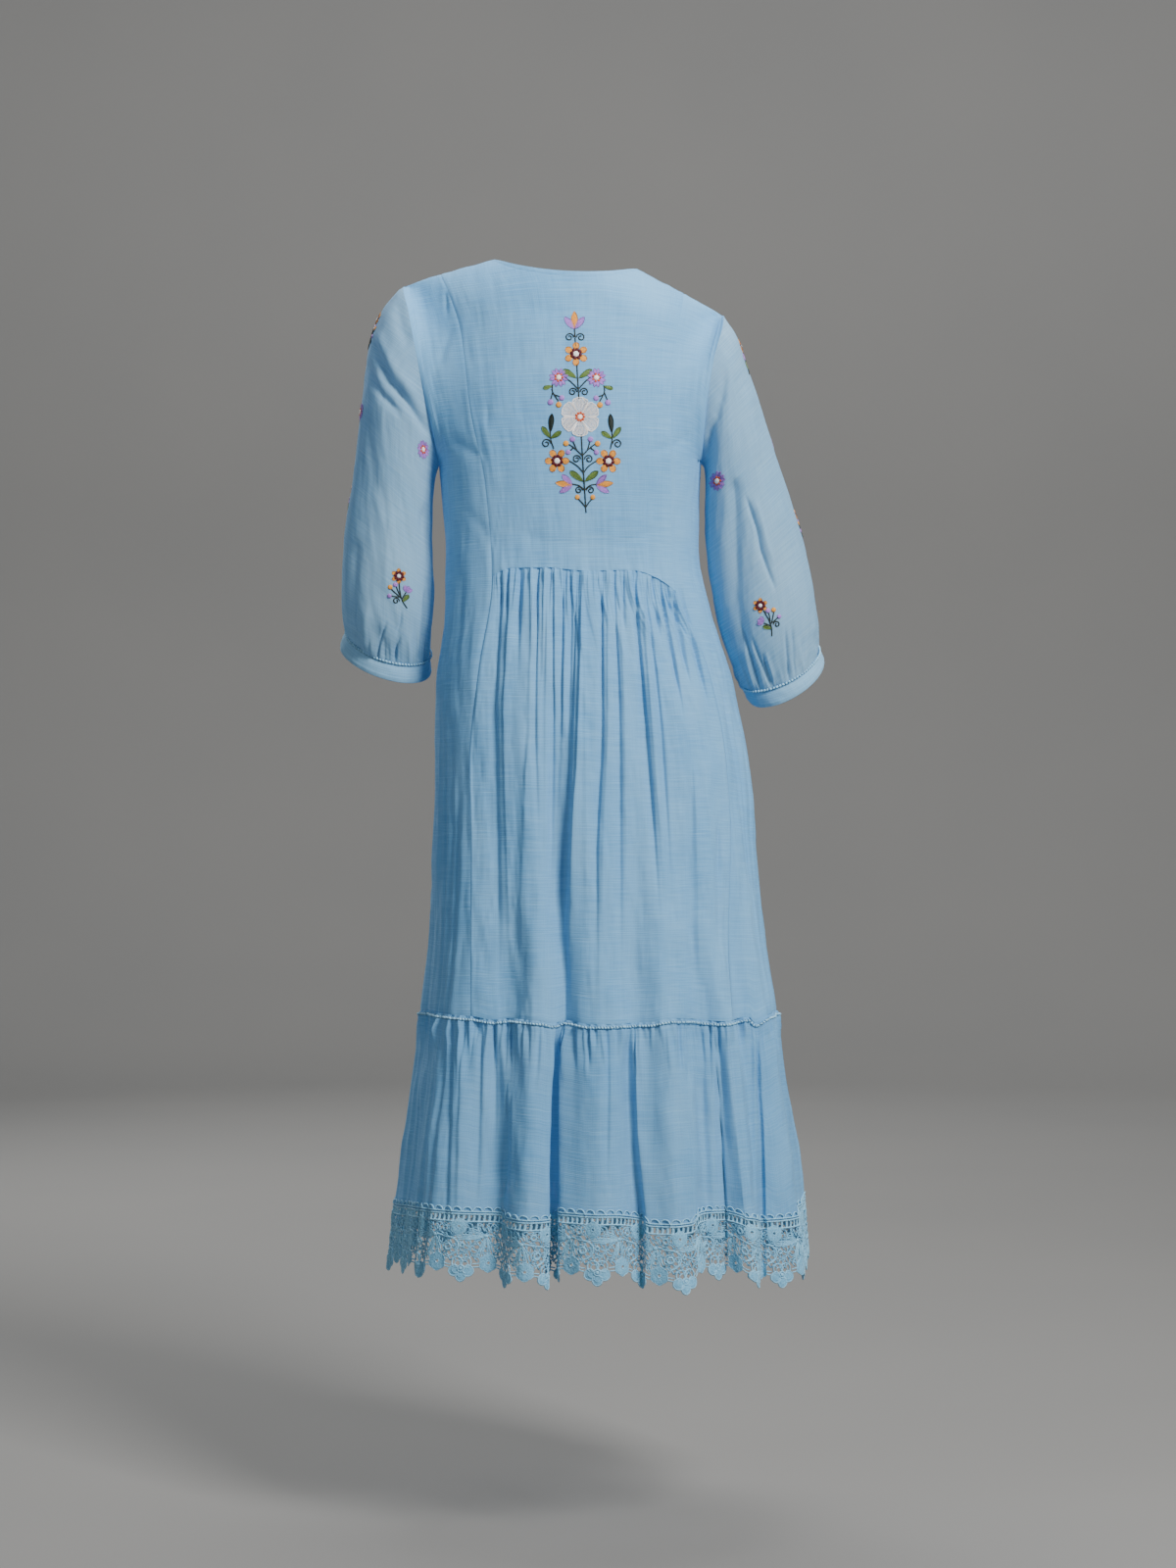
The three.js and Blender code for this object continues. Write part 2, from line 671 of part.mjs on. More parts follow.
add("back_bodice", wall(trimmed(backBodice())), CLOTH);
add("back_skirt", wall(trimmed(backSkirt())), CLOTH);
add("front", wall(trimmed(front())), CLOTH);
for (const side of ["left", "right"]) {
  add(`side_back_${side}`, wall(trimmed(sideBack(side))), CLOTH);
  const sleeve = sleeveRings(side, 0, CUFF_SEAM + 1);
  const cuff = sleeveRings(side, CUFF_SEAM + 1, CUFF_SEAM + 2);
  add(`sleeve_${side}`, wall(trimmed(sleeve, true, HEAD_SHARE), true), CLOTH);
  add(`cuff_${side}`, wall(trimmed(cuff, true), true), CLOTH);
  add(`cuff_braid_${side}`, cordOn(cuff[0]), TRIM);
}
add("tier_back", wall(trimmed(tierHalf(BACK, TIER_LEVELS))), CLOTH);
add("tier_front", wall(trimmed(tierHalf(FRONT, TIER_LEVELS))), CLOTH);
add("tier_braid", cordOn(tierRound([TIER_SEAM - TRIM_RADIUS - TRIM_CLEAR])[0]), TRIM);
add("lace_border", wall(trimmed(laceBorder(), true), true), LACE);

export default dress;
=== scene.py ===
"""How the worn A-line midi dress looks: crinkled gauze with a picot braid, openwork lace and embroidery.

Lengths here are millimetres in the part's own frame: +Z up, +X the wearer's right, +Y the way the wearer
faces, origin between the shoulders. They turn into metres where a mesh is made. The cloth follows the same
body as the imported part, given by a face (the back or the front), a height and an angle: -90 at the wearer's
left edge, 0 at the middle and 90 at the right edge.
"""

import math

import bpy
import numpy as np
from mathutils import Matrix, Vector
from mathutils.bvhtree import BVHTree


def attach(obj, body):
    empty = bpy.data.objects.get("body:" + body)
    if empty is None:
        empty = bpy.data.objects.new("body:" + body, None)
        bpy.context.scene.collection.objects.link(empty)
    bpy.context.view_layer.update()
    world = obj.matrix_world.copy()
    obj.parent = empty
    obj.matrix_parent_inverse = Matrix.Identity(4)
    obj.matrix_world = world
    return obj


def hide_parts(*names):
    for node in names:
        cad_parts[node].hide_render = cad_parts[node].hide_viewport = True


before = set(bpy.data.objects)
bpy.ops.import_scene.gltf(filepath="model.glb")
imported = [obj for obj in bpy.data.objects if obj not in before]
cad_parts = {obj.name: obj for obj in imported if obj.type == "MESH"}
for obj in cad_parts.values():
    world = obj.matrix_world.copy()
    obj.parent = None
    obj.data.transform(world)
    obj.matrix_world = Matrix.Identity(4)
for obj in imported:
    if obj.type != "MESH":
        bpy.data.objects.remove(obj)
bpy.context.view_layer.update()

MM = 0.001
BACK, FRONT = -1, 1

# ---------------------------------------------------------------- the body, as the part has it

ARMPIT = -240
TIER_SEAM = -900
LACE_SEAM = -1122
LACE_DEPTH = 86
HEM = LACE_SEAM - LACE_DEPTH
NECK_HALF = 84
BACK_NECK_DIP = 21
FRONT_NECK_DIP = 96
NECK_CORNER = 3
SHOULDER_ROUND = 70
ROUNDNESS = 2.4

# height, left edge, right edge, depth behind, depth in front
SECTIONS = [
    (20, -197, 190, 60, 46),
    (-28, -195, 190, 78, 62),
    (-63, -187, 190, 90, 74),
    (-119, -176, 177, 104, 93),
    (-166, -167, 169, 110, 112),
    (-208, -158, 165, 110, 122),
    (ARMPIT, -152, 163, 108, 124),
    (-300, -147, 160, 102, 121),
    (-343, -144, 160, 99, 118),
    (-414, -145, 173, 107, 119),
    (-509, -155, 201, 122, 125),
    (-603, -157, 219, 132, 131),
    (-697, -158, 229, 140, 139),
    (-792, -161, 238, 150, 149),
    (TIER_SEAM, -171, 254, 162, 161),
    (-1000, -184, 267, 176, 175),
    (-1100, -196, 280, 188, 187),
    (HEM, -207, 289, 198, 197),
]
# x, height
SHOULDER_LINE = [
    (-215, -40), (-195, -28), (-150, -13), (-NECK_HALF, 5), (0, 32),
    (NECK_HALF, -6), (142, -36), (190, -63), (210, -80),
]
# height, left seam's x, right seam's x
PRINCESS_SEAMS = [
    (20, -152, 146), (-13, -150, 143), (-36, -141, 142), (-90, -124, 133), (-190, -111, 125),
    (-275, -94, 125), (-385, -86, 128), (-495, -102, 170), (-600, -112, 190), (-700, -109, 196),
    (TIER_SEAM, -108, 194),
]
# share of the way from the left princess seam to the right one, height
WAIST_SEAM = [(0, -382), (0.12, -373), (0.3, -373), (0.5, -377), (0.72, -376), (0.88, -384), (1, -399)]
# the height of the armhole's top, and its depth behind and in front of the shoulder
ARMHOLES = {"left": (-28, 62, 58), "right": (-63, 62, 58)}
# the angle round the hem, how far it stands out at the hem, half width in degrees, drift at the waist, top
FOLDS = [
    (-76, -8, 7, 0, -640), (-52, 7, 8, 0, -560), (-31, -14, 7, -3, -420), (-20, 9, 6, 0, -640),
    (-12, -26, 4.5, -3, -430), (0, 8, 7, 0, -420), (12, -9, 5, 8, -430), (20, 10, 5, 2, -640),
    (34, -17, 5, 3, -600), (43, 9, 5, 0, -640), (52, -12, 5, 0, -560), (66, 9, 7, 0, -640),
    (80, -8, 6, 0, -620), (99, 7, 7, 0, -640), (114, -13, 6, 0, -520), (129, 10, 6, 0, -480),
    (143, -18, 6, 2, -400), (157, 10, 7, 0, -440), (170, -12, 6, 0, -340), (183, 11, 7, 0, -420),
    (197, -20, 6, -2, -360), (211, 9, 6, 0, -460), (224, -14, 6, -2, -420), (240, 9, 7, 0, -520),
    (256, -9, 6, 0, -560), (268, 6, 6, 0, -640),
]
# the angle round the hem, how far the folds hitch the lace up there
LIFTS = [
    (-90, -2), (-49, 10), (-31, 9), (-28, 5), (-14, 4), (-10, 12), (2, 12), (12, 6), (15, 0), (25, 1),
    (28, 11), (35, 11), (53, -4), (90, -1), (120, 5), (150, 1), (180, 7), (205, 2), (235, 6), (270, -2),
]
# outer x and height, inner x and height, how far forward the middle lies, half its depth, drop behind
SLEEVES = {
    "left": [
        (-219, -54, -155, -247, 0, 66, 0), (-236, -95, -158, -260, 1, 65, 1),
        (-246, -165, -161, -288, 3, 61, 3), (-255, -250, -161, -328, 6, 58, 6),
        (-267, -335, -159, -377, 12, 60, 12), (-271, -400, -161, -426, 22, 60, 20),
        (-267, -440, -165, -470, 33, 50, 24), (-275, -457, -164, -491, 37, 53, 25),
    ],
    "right": [
        (207, -88, 167, -248, 0, 64, 0), (221, -128, 169, -263, 1, 63, 1),
        (239, -185, 169, -296, 3, 60, 3), (262, -255, 170, -337, 6, 58, 6),
        (287, -335, 176, -386, 12, 60, 12), (303, -410, 188, -446, 22, 60, 20),
        (308, -462, 212, -503, 33, 50, 25), (315, -476, 221, -522, 37, 53, 26),
    ],
}
CUFF_RING = 7  # the sleeve's ring, counted from the armhole, where the cuff begins
SIDE = {"left": -1, "right": 1}


def curve(rows, value=1):
    """A function through a table's first and another column, smooth and without overshoot."""
    table = np.array(sorted(rows), float)
    keys, values = table[:, 0], table[:, value]
    slopes = np.diff(values) / np.diff(keys)
    product = slopes[:-1] * slopes[1:]
    total = np.where(product > 0, slopes[:-1] + slopes[1:], 1)
    inner = np.where(product > 0, 2 * product / total, 0)
    tangents = np.concatenate([slopes[:1], inner, slopes[-1:]])

    def at(place):
        i = np.clip(np.searchsorted(keys, place, side="right") - 1, 0, len(keys) - 2)
        span = keys[i + 1] - keys[i]
        t = np.clip((place - keys[i]) / span, 0, 1)
        return (
            values[i] * (1 + 2 * t) * (1 - t) ** 2
            + values[i + 1] * t * t * (3 - 2 * t)
            + span * (tangents[i] * t * (1 - t) ** 2 - tangents[i + 1] * t * t * (1 - t))
        )

    return at


left_edge, right_edge, depth_behind, depth_ahead = (curve(SECTIONS, k) for k in (1, 2, 3, 4))
shoulder_line = curve(SHOULDER_LINE)
princess_x = {"left": curve(PRINCESS_SEAMS, 1), "right": curve(PRINCESS_SEAMS, 2)}
waist_seam = curve(WAIST_SEAM)
lift_at = curve(LIFTS)


def lerp(a, b, share):
    return a + (b - a) * share


def smoothstep(x, low, high):
    t = np.clip((x - low) / (high - low), 0, 1)
    return t * t * (3 - 2 * t)


def polar(u, v, reach, turn):
    """The place at that distance from (u, v), turned by degrees from +u towards +v."""
    a = math.radians(turn)
    return np.array([u + reach * math.cos(a), v + reach * math.sin(a)])


def edges(z):
    left, right = left_edge(z), right_edge(z)
    return (left + right) / 2, (right - left) / 2


def angle_of(x, z):
    middle, half = edges(z)
    return np.degrees(np.arcsin(np.clip((x - middle) / half, -1, 1)))


def armhole_share(tip, z):
    middle, half = (tip + ARMPIT) / 2, (tip - ARMPIT) / 2
    return np.sqrt(np.clip(1 - ((z - middle) / half) ** 2, 0, 1))


def round_place(face, angle):
    """The angle all the way round: -90 to 90 behind, and on to 270 in front."""
    return angle if face == BACK else 180 - angle


def turned_from(place, centre):
    return (place - centre + 180) % 360 - 180


def fold_out(face, angle, z):
    place = round_place(face, angle)
    out = 0
    for at, reach, wide, drift, top in FOLDS:
        grown = smoothstep(-z, -top, -HEM) ** 0.7
        centre = at + drift * smoothstep(z, TIER_SEAM, -400)
        out = out + reach * grown * np.exp(-((turned_from(place, centre) / wide) ** 2))
    return out


def body_points(face, angle, z):
    angle, z = np.broadcast_arrays(np.asarray(angle, float), np.asarray(z, float))
    middle, half = edges(z)
    sine, cosine = np.sin(np.radians(angle)), np.cos(np.radians(angle))
    x = middle + half * sine
    column = 1 if face == BACK else 2
    tip = np.where(sine < 0, ARMHOLES["left"][0], ARMHOLES["right"][0])
    reach = np.where(sine < 0, ARMHOLES["left"][column], ARMHOLES["right"][column])
    # Away from the armhole's own edge the cloth leaves the armpit's level more softly.
    soften = 1 + 12 * (1 - sine**2)
    edge = reach * np.where(z > ARMPIT, armhole_share(tip, z) ** soften, 0) * np.abs(sine) ** 3
    depth = (depth_behind if face == BACK else depth_ahead)(z)
    power = lerp(1 / ROUNDNESS, 1, smoothstep(z, ARMPIT, -60))
    arch = np.clip(1 - np.abs(sine) ** ROUNDNESS, 0, 1) ** power
    drop = np.clip((shoulder_line(x) - z) / SHOULDER_ROUND, 0, 1)
    y = edge + (depth - edge) * arch * np.sqrt(1 - (1 - drop) ** 2)
    out = fold_out(face, angle, z)
    return np.stack([x + out * sine, face * (y + out * cosine), z], axis=-1)


def top_heights(angles, shares, dip):
    """The height of the top edge of a panel, over the shoulders and along the neck, at each share."""
    chord_ends = shoulder_line(-NECK_HALF), shoulder_line(NECK_HALF)
    z = np.zeros(len(shares))
    for _ in range(30):
        low, high = angles(z)
        middle, half = edges(z)
        x = middle + half * np.sin(np.radians(lerp(low, high, shares)))
        across = x / NECK_HALF
        inside = 1 - across**2
        neck = lerp(*chord_ends, (across + 1) / 2) - dip * np.sign(inside) * np.abs(inside) ** 0.7
        shoulder = shoulder_line(x)
        # The lower of the two, with the corner between them rounded off.
        corner = NECK_CORNER * np.exp(-(((np.abs(across) - 1) / 0.1) ** 2))
        z = (neck + shoulder) / 2 - np.hypot((neck - shoulder) / 2, corner)
    return z


def princess(side, z):
    return angle_of(princess_x[side](z), z)


def between_princesses(z):
    return princess("left", z), princess("right", z)


def from_side_to_side(z):
    return -90 + 0 * z, 90 + 0 * z


beside_princess = {
    "left": lambda z: (-90 + 0 * z, princess("left", z)),
    "right": lambda z: (princess("right", z), 90 + 0 * z),
}


# ---------------------------------------------------------------- relief: folds, creases and gathers


def noise_field(seed, size_u, size_v, period_u=None):
    """Smooth noise of about -1 to 1 over a plane, with cells of that size, and round a period if given."""
    count_u = 64 if period_u is None else max(2, round(period_u / size_u))
    size_u = size_u if period_u is None else period_u / count_u
    knots = np.random.default_rng(seed).uniform(-1, 1, (count_u, 64))

    def at(u, v):
        a, b = u / size_u, v / size_v
        i, j = np.floor(a).astype(int), np.floor(b).astype(int)
        s, t = a - i, b - j
        s, t = s * s * (3 - 2 * s), t * t * (3 - 2 * t)
        i0, i1, j0, j1 = i % count_u, (i + 1) % count_u, j % 64, (j + 1) % 64
        return lerp(lerp(knots[i0, j0], knots[i1, j0], s), lerp(knots[i0, j1], knots[i1, j1], s), t)

    return at


ROUND_MM = 3.5  # millimetres in a degree round the body
wave = noise_field(1, 55, 90, 360 * ROUND_MM)
ripple = noise_field(2, 13, 38, 360 * ROUND_MM)
crinkle = noise_field(3, 5, 17, 360 * ROUND_MM)


def weave_relief(face, angle, z):
    """The gauze is never flat: broad waves, ripples that run down it, and its crinkle."""
    u = round_place(face, angle) * ROUND_MM
    calm = 1 - 0.55 * smoothstep(z, -420, -300)
    return calm * (1.6 * wave(u, z) + 1.15 * ripple(u, z) + 0.4 * crinkle(u, z))


CREASE_END = 22  # a crease fades out over this much at each end, or over half of a short one


def crease_relief(u, v, creases):
    """How far creases move the cloth out. A crease is (line of places, height, half width): in where
    the height is negative."""
    out = np.zeros(np.shape(u))
    for line, height, width in creases:
        line = np.array(line, float)
        steps = np.diff(line, axis=0)
        spans = np.hypot(*steps.T)
        starts = np.concatenate([[0], np.cumsum(spans)])
        away = np.full(np.shape(u), np.inf)
        along = np.zeros(np.shape(u))
        for (u0, v0), (du, dv), span, start in zip(line, steps, spans, starts):
            t = np.clip(((u - u0) * du + (v - v0) * dv) / span**2, 0, 1)
            distance = np.hypot(u - u0 - t * du, v - v0 - t * dv)
            nearer = distance < away
            away = np.where(nearer, distance, away)
            along = np.where(nearer, start + t * span, along)
        reach = min(CREASE_END, starts[-1] / 2)
        fade = np.minimum(1, np.minimum(along, starts[-1] - along) / reach + 0.15)
        out += height * smoothstep(fade, 0, 1) * np.exp(-((away / width) ** 1.6))
    return out


def gather_relief(u, down, seed, length, pitch, height, reach, narrow=1.6, spread=0.014):
    """Gathers that start at a seam, each of its own height and reach, and that widen as they go down."""
    rng = np.random.default_rng(seed)
    places = np.cumsum(rng.uniform(0.55, 1.5, int(length / pitch) + 2) * pitch) - pitch
    out = np.zeros(np.shape(u))
    below = np.clip(down, 0, None)
    rise = 0.45 + 0.55 * smoothstep(below, 0, 9)
    for place in places[places < length]:
        tall, far = rng.uniform(0.35, 1), rng.uniform(0.25, 1) ** 1.6
        lean, turn = rng.normal(0, 0.05), rng.random()
        sign = 1 if turn > 0.4 else -1
        width = narrow * rng.uniform(0.75, 1.4) + spread * below
        ends = reach * (0.4 + 1.6 * far)
        fade = 1 - smoothstep(below, 0.3 * ends, ends)
        out += sign * height * tall * rise * fade * lapped(u - place - lean * below, width, sign)
    return out


def seam_relief(*distances):
    """A stitched seam pulls the cloth in along its line, and its allowance lifts it a little beside it."""
    out = 0
    for distance in distances:
        out = out - 0.6 * np.exp(-((distance / 1.0) ** 2)) + 0.18 * (1 - smoothstep(distance, 4.5, 7.5))
    return out


# The long folds of the back skirt: x at four heights, top, bottom, height (in where negative), half width.
SKIRT_LEVELS = (-385, -550, -720, -895)
SKIRT_FOLDS = [
    ((14, 9, 2, -5), -372, -905, -2.6, 2.0),
    ((9, 4, -3, -10), -400, -905, -5.2, 8.0),
    ((20, 16, 11, 6), -376, -905, 3.2, 3.4),
    ((3, -3, -9, -17), -380, -905, 1.6, 5.0),
    ((44, 44, 37, 38), -374, -870, -3.6, 2.6),
    ((50, 50, 44, 45), -376, -850, 1.6, 3.6),
    ((82, 94, 106, 115), -380, -800, -4.2, 3.0),
    ((89, 101, 114, 124), -378, -780, 2.4, 4.2),
    ((-75, -82, -79, -75), -374, -905, -4.2, 7.0),
    ((-64, -70, -66, -60), -378, -880, 2.0, 4.6),
    ((-31, -34, -30, -28), -374, -690, -2.5, 2.2),
    ((-37, -41, -38, -37), -380, -640, 1.2, 3.4),
    ((-1.5, -5, -7, -8), -374, -590, -2.6, 2.2),
    ((-13, -14, -13, -9), -374, -790, -2.4, 2.3),
    ((-20, -22, -22, -19), -380, -760, 1.2, 3.4),
    ((58, 64, 65, 66), -376, -870, -2.8, 2.4),
    ((63, 69, 71, 72), -380, -820, 1.4, 3.6),
    ((69, 70, 71, 72), -376, -455, -2.4, 2.0),
    ((94, 111, 122, 128), -380, -790, -2.8, 3.0),
    ((103, 112, 118, 124), -382, -430, -2.4, 2.2),
    ((113, 138, 152, 160), -380, -560, -4.2, 1.5),
    ((126, 152, 164, 172), -385, -520, -3.6, 1.5),
    ((104, 122, 132, 140), -379, -470, -3.0, 1.5),
    ((120, 148, 160, 168), -383, -440, -2.8, 1.5),
    ((135, 170, 180, 186), -390, -540, -4.2, 1.5),
    ((-67, -70, -72, -74), -376, -440, -2.2, 2.0),
    ((-53, -57, -60, -62), -376, -480, -2.0, 2.0),
    ((175, 176, 181, 183), -670, -880, -2.6, 4.0),
    ((150, 150, 154, 158), -600, -890, 2.2, 7.0),
    ((-40, -42, -47, -50), -560, -890, 1.8, 8.0),
    ((22, 24, 26, 24), -470, -840, 1.2, 6.0),
]

# The folds of the lower tier, which run on into the lace: x at three heights, top, bottom, height and half
# width. A trough is steep on its right and a ridge on its left, the other way round at a negative width.
TIER_LEVELS = (-905, -1010, -1122)
TIER_FOLDS = [
    ((-6, -7, -7), -900, -1240, -6, 8),
    ((-7, -8, -8), -896, -1240, -18, 2.4),
    ((-78, -76, -80), -902, -1240, -8, 14),
    ((4, 3, 4), -900, -1240, 4.5, 5.0),
    ((-14, -16, -17), -900, -1240, 6.5, -5.0),
    ((76, 79, 89), -900, -1240, -10, 8.5),
    ((85, 87, 97), -904, -1240, 4.5, 4.6),
    ((176, 180, 185), -900, -1240, -13, -9),
    ((173, 177, 182), -898, -1240, -9, 2.2),
    ((160, 161, 163), -930, -1240, -3, 8),
    ((146, 146, 148), -930, -1240, 2.5, 5),
    ((169, 170, 172), -900, -1000, -3.2, 2.6),
    ((197, 208, 217), -902, -1240, 5.0, 5.5),
    ((226, 230, 232), -900, -1240, -8, 3.0),
    ((220, 221, 220), -904, -1200, 2.5, 4.5),
    ((-96, -100, -103), -900, -1130, -4.5, 6.0),
    ((-80, -80, -80), -900, -1045, -3.6, 3.0),
    ((-67, -66, -75), -975, -1150, -4.2, 3.2),
    ((-60, -58, -66), -980, -1150, 2.6, 4.5),
    ((51, 50, 49), -900, -1090, -3.2, 2.6),
    ((28, 28, 28), -900, -960, -3.2, 2.2),
    ((147, 147, 148), -900, -985, -3.6, 2.6),
    ((-130, -134, -138), -900, -1180, -4.5, 4.0),
    ((-150, -155, -160), -900, -1120, 3.0, 5.0),
    ((-118, -121, -124), -930, -1160, 2.6, 5.0),
]


STEEP, SOFT = 0.5, 1.9  # the reach of a fold's two sides, in its half widths


def lapped(away, width, height):
    """The section of a fold that leans over: a trough is steep on its right, and a ridge on its left, or the
    other way round where the width is negative."""
    steep = (away * width > 0) == (height < 0)
    return np.exp(-((np.abs(away / width) / np.where(steep, STEEP, SOFT)) ** 1.7))


# How far the folds lift the tier's seam behind, by x.
SEAM_LIFTS = [
    (-172, 3), (-158, 5), (-107, 4), (-83, 0.5), (-63, 2.6), (-27, 1), (-13, -2.4), (2, 1), (30, -2.4),
    (59, -2), (98, -0.6), (123, 3.6), (143, 2.6), (163, -0.3), (188, -1.3), (215, 1.4), (222, -5.5), (243, 3),
    (256, 3),
]
seam_lift = curve(SEAM_LIFTS)


# Ridges behind that lean over the trough on their left: their middles at the tier's three heights,
# how far they lean and their half width.
TIER_ROLLS = [((4, 3, 4), 9, 6), ((86, 88, 98), 4, 6), ((196, 205, 214), 5, 6), ((234, 237, 239), 3, 4)]
SKIRT_ROLL = ((20, 16, 11, 6), 2, 5)


def rolled(face, points, rolls, levels, top):
    """The same places, with the ridges behind leaning over to the left."""
    if face == FRONT:
        return points
    x, z = points[..., 0], points[..., 2]
    moved = points.copy()
    for middles, lean, width in rolls:
        middle = curve(list(zip(levels, middles)))(z)
        moved[..., 0] -= lean * smoothstep(-z, -top, 60 - top) * np.exp(-(((x - middle) / width) ** 2))
    return moved


def with_seam_lifted(face, points):
    """The same places, with the tier's seam and the cloth near it lifted by the folds."""
    x, z = points[..., 0], points[..., 2]
    lift = seam_lift(x) if face == BACK else 2.5 * wave(x, 0 * x)
    moved = points.copy()
    moved[..., 2] += lift * np.exp(-(((z - TIER_SEAM) / 45) ** 2)) * smoothstep(np.abs(points[..., 1]), 0, 25)
    return moved


def vertical_folds(x, z, folds, levels):
    """Folds that run down the back, each with its middle at the given heights. One that ends above the hem
    dies away, and one that would end below it runs off the edge."""
    out = np.zeros(np.shape(x))
    for middles, top, bottom, height, width in folds:
        middle = curve(list(zip(levels, middles)))(z)
        done = np.clip((top - z) / (top - bottom), 0, 1)
        runs_off = bottom < HEM
        fade = (0.35 + 0.65 * smoothstep(done, 0, 0.1 if runs_off else 0.08)) * (z < top + 2)
        if not runs_off:
            fade = fade * (1 - smoothstep(done, 0.6, 1))
        fade = fade * (0.55 + 0.45 * smoothstep(done, 0, 0.2))
        out += height * fade * lapped(x - middle, width * (0.5 + 0.8 * smoothstep(done, 0, 0.6)), height)
    return out


def hidden_folds(face_place, z, seed, span, top_range, bottom, heights, widths, pitch):
    """Similar folds on a side that the table doesn't cover, spread over an angle round the body."""
    rng = np.random.default_rng(seed)
    out = np.zeros(np.shape(face_place))
    place = span[0]
    while place < span[1]:
        top, height = rng.uniform(*top_range), rng.uniform(*heights)
        width, lean = rng.uniform(*widths), rng.normal(0, 0.004)
        done = np.clip((top - z) / (top - bottom), 0, 1)
        fade = smoothstep(done, 0, 0.35)
        away = turned_from(face_place, place + lean * (z - top)) * ROUND_MM
        out += (-height if rng.random() < 0.6 else 0.6 * height) * fade * np.exp(-((away / width) ** 2))
        place += pitch * rng.uniform(0.5, 1.6)
    return out


# ---------------------------------------------------------------- meshes from grids


def linked(name, data):
    thing = bpy.data.objects.new(name, data)
    bpy.context.scene.collection.objects.link(thing)
    return thing


def meshed(name, points, faces, materials):
    """A smooth mesh of points in millimetres."""
    mesh = bpy.data.meshes.new(name)
    mesh.from_pydata((np.asarray(points).reshape(-1, 3) * MM).tolist(), [], faces)
    mesh.polygons.foreach_set("use_smooth", np.ones(len(mesh.polygons), bool))
    for material in materials:
        mesh.materials.append(material)
    mesh.update()
    return linked(name, mesh)


def fitted(piece, nodes):
    """The same piece, riding on the dress in place of some of the part's nodes."""
    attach(piece, "root")
    if nodes:
        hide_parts(*nodes)
    return piece


def cloth_piece(node, points, flip, material, uv):
    """A node's cloth, from a grid of points in millimetres and the place of each on the flat cloth."""
    index = np.arange(points.shape[0] * points.shape[1]).reshape(points.shape[:2])
    quads = np.stack([index[:-1, :-1], index[1:, :-1], index[1:, 1:], index[:-1, 1:]], axis=-1).reshape(-1, 4)
    piece = meshed(f"{node}_cloth", points, (quads if flip else quads[:, ::-1]).tolist(), [material])
    mesh = piece.data
    layer = mesh.uv_layers.new(name="UVMap")
    corners = np.zeros(len(mesh.loops), int)
    mesh.loops.foreach_get("vertex_index", corners)
    layer.data.foreach_set("uv", uv.reshape(-1, 2)[corners].ravel() * MM)
    return fitted(piece, [node])


def tube_faces(index):
    """Quads between the rows of a grid of point numbers, and from each row's end back to its start."""
    after = np.roll(index, -1, 1)
    return np.stack([index[:-1], after[:-1], after[1:], index[1:]], axis=-1).reshape(-1, 4)


def unit(vectors):
    return vectors / np.maximum(np.linalg.norm(vectors, axis=-1, keepdims=True), 1e-9)


def grid_normals(points, middle, ring=False):
    """The directions square to a grid, away from its middle line, and whether its own face inwards."""
    if ring:
        around = np.concatenate([points[:, -2:-1], points, points[:, 1:2]], axis=1)
        across = (around[:, 2:] - around[:, :-2]) / 2
    else:
        across = np.gradient(points, axis=1)
    normals = unit(np.cross(np.gradient(points, axis=0), across))
    flip = ((points - middle) * normals).sum() < 0
    return (-normals if flip else normals), flip


def run_lengths(points, axis):
    """How far along the cloth each place of a grid lies from the start of its row or column."""
    steps = np.linalg.norm(np.diff(points, axis=axis), axis=-1)
    pad = [(1, 0) if k == axis else (0, 0) for k in range(2)]
    return np.pad(np.cumsum(steps, axis=axis), pad)


def body_middle(points):
    middle, _ = edges(points[..., 2])
    return np.stack([middle, np.zeros_like(middle), points[..., 2]], axis=-1)


def body_grid(face, angles, columns, dip, rows_above, bottom, rows_below):
    """Points and angles of a panel between two seams, with rows above and below the level of the armpit. A
    panel with no dip in its top edge hangs from the waist seam. Bottom is a height, or one for each share."""
    shares = np.linspace(0, 1, columns + 1)
    rows = []
    if dip is None:
        start = waist_seam(shares)
    else:
        tops = top_heights(angles, shares, dip)
        down = (1 - np.cos(np.pi * np.arange(rows_above) / rows_above)) / 2
        rows += [lerp(tops, ARMPIT, share) for share in down]
        start = np.full(len(shares), float(ARMPIT))
    stop = bottom(shares) if callable(bottom) else np.full(len(shares), float(bottom))
    rows += [lerp(start, stop, k / rows_below) for k in range(rows_below + 1)]
    z = np.array(rows)
    angle = lerp(*angles(z), shares[None, :])
    return body_points(face, angle, z), angle


def cloth_uv(points, width, level_row=0):
    """Where each place lies on the flat cloth: across by its column, down by its run from a level row."""
    across = np.linspace(0, width, points.shape[1])[None, :] + np.zeros(points.shape[:2])
    down = run_lengths(points, 0)
    return np.stack([across, down[level_row] - down], axis=-1)


def raised(points, normals, out):
    return points + normals * out[..., None]


# ---------------------------------------------------------------- materials


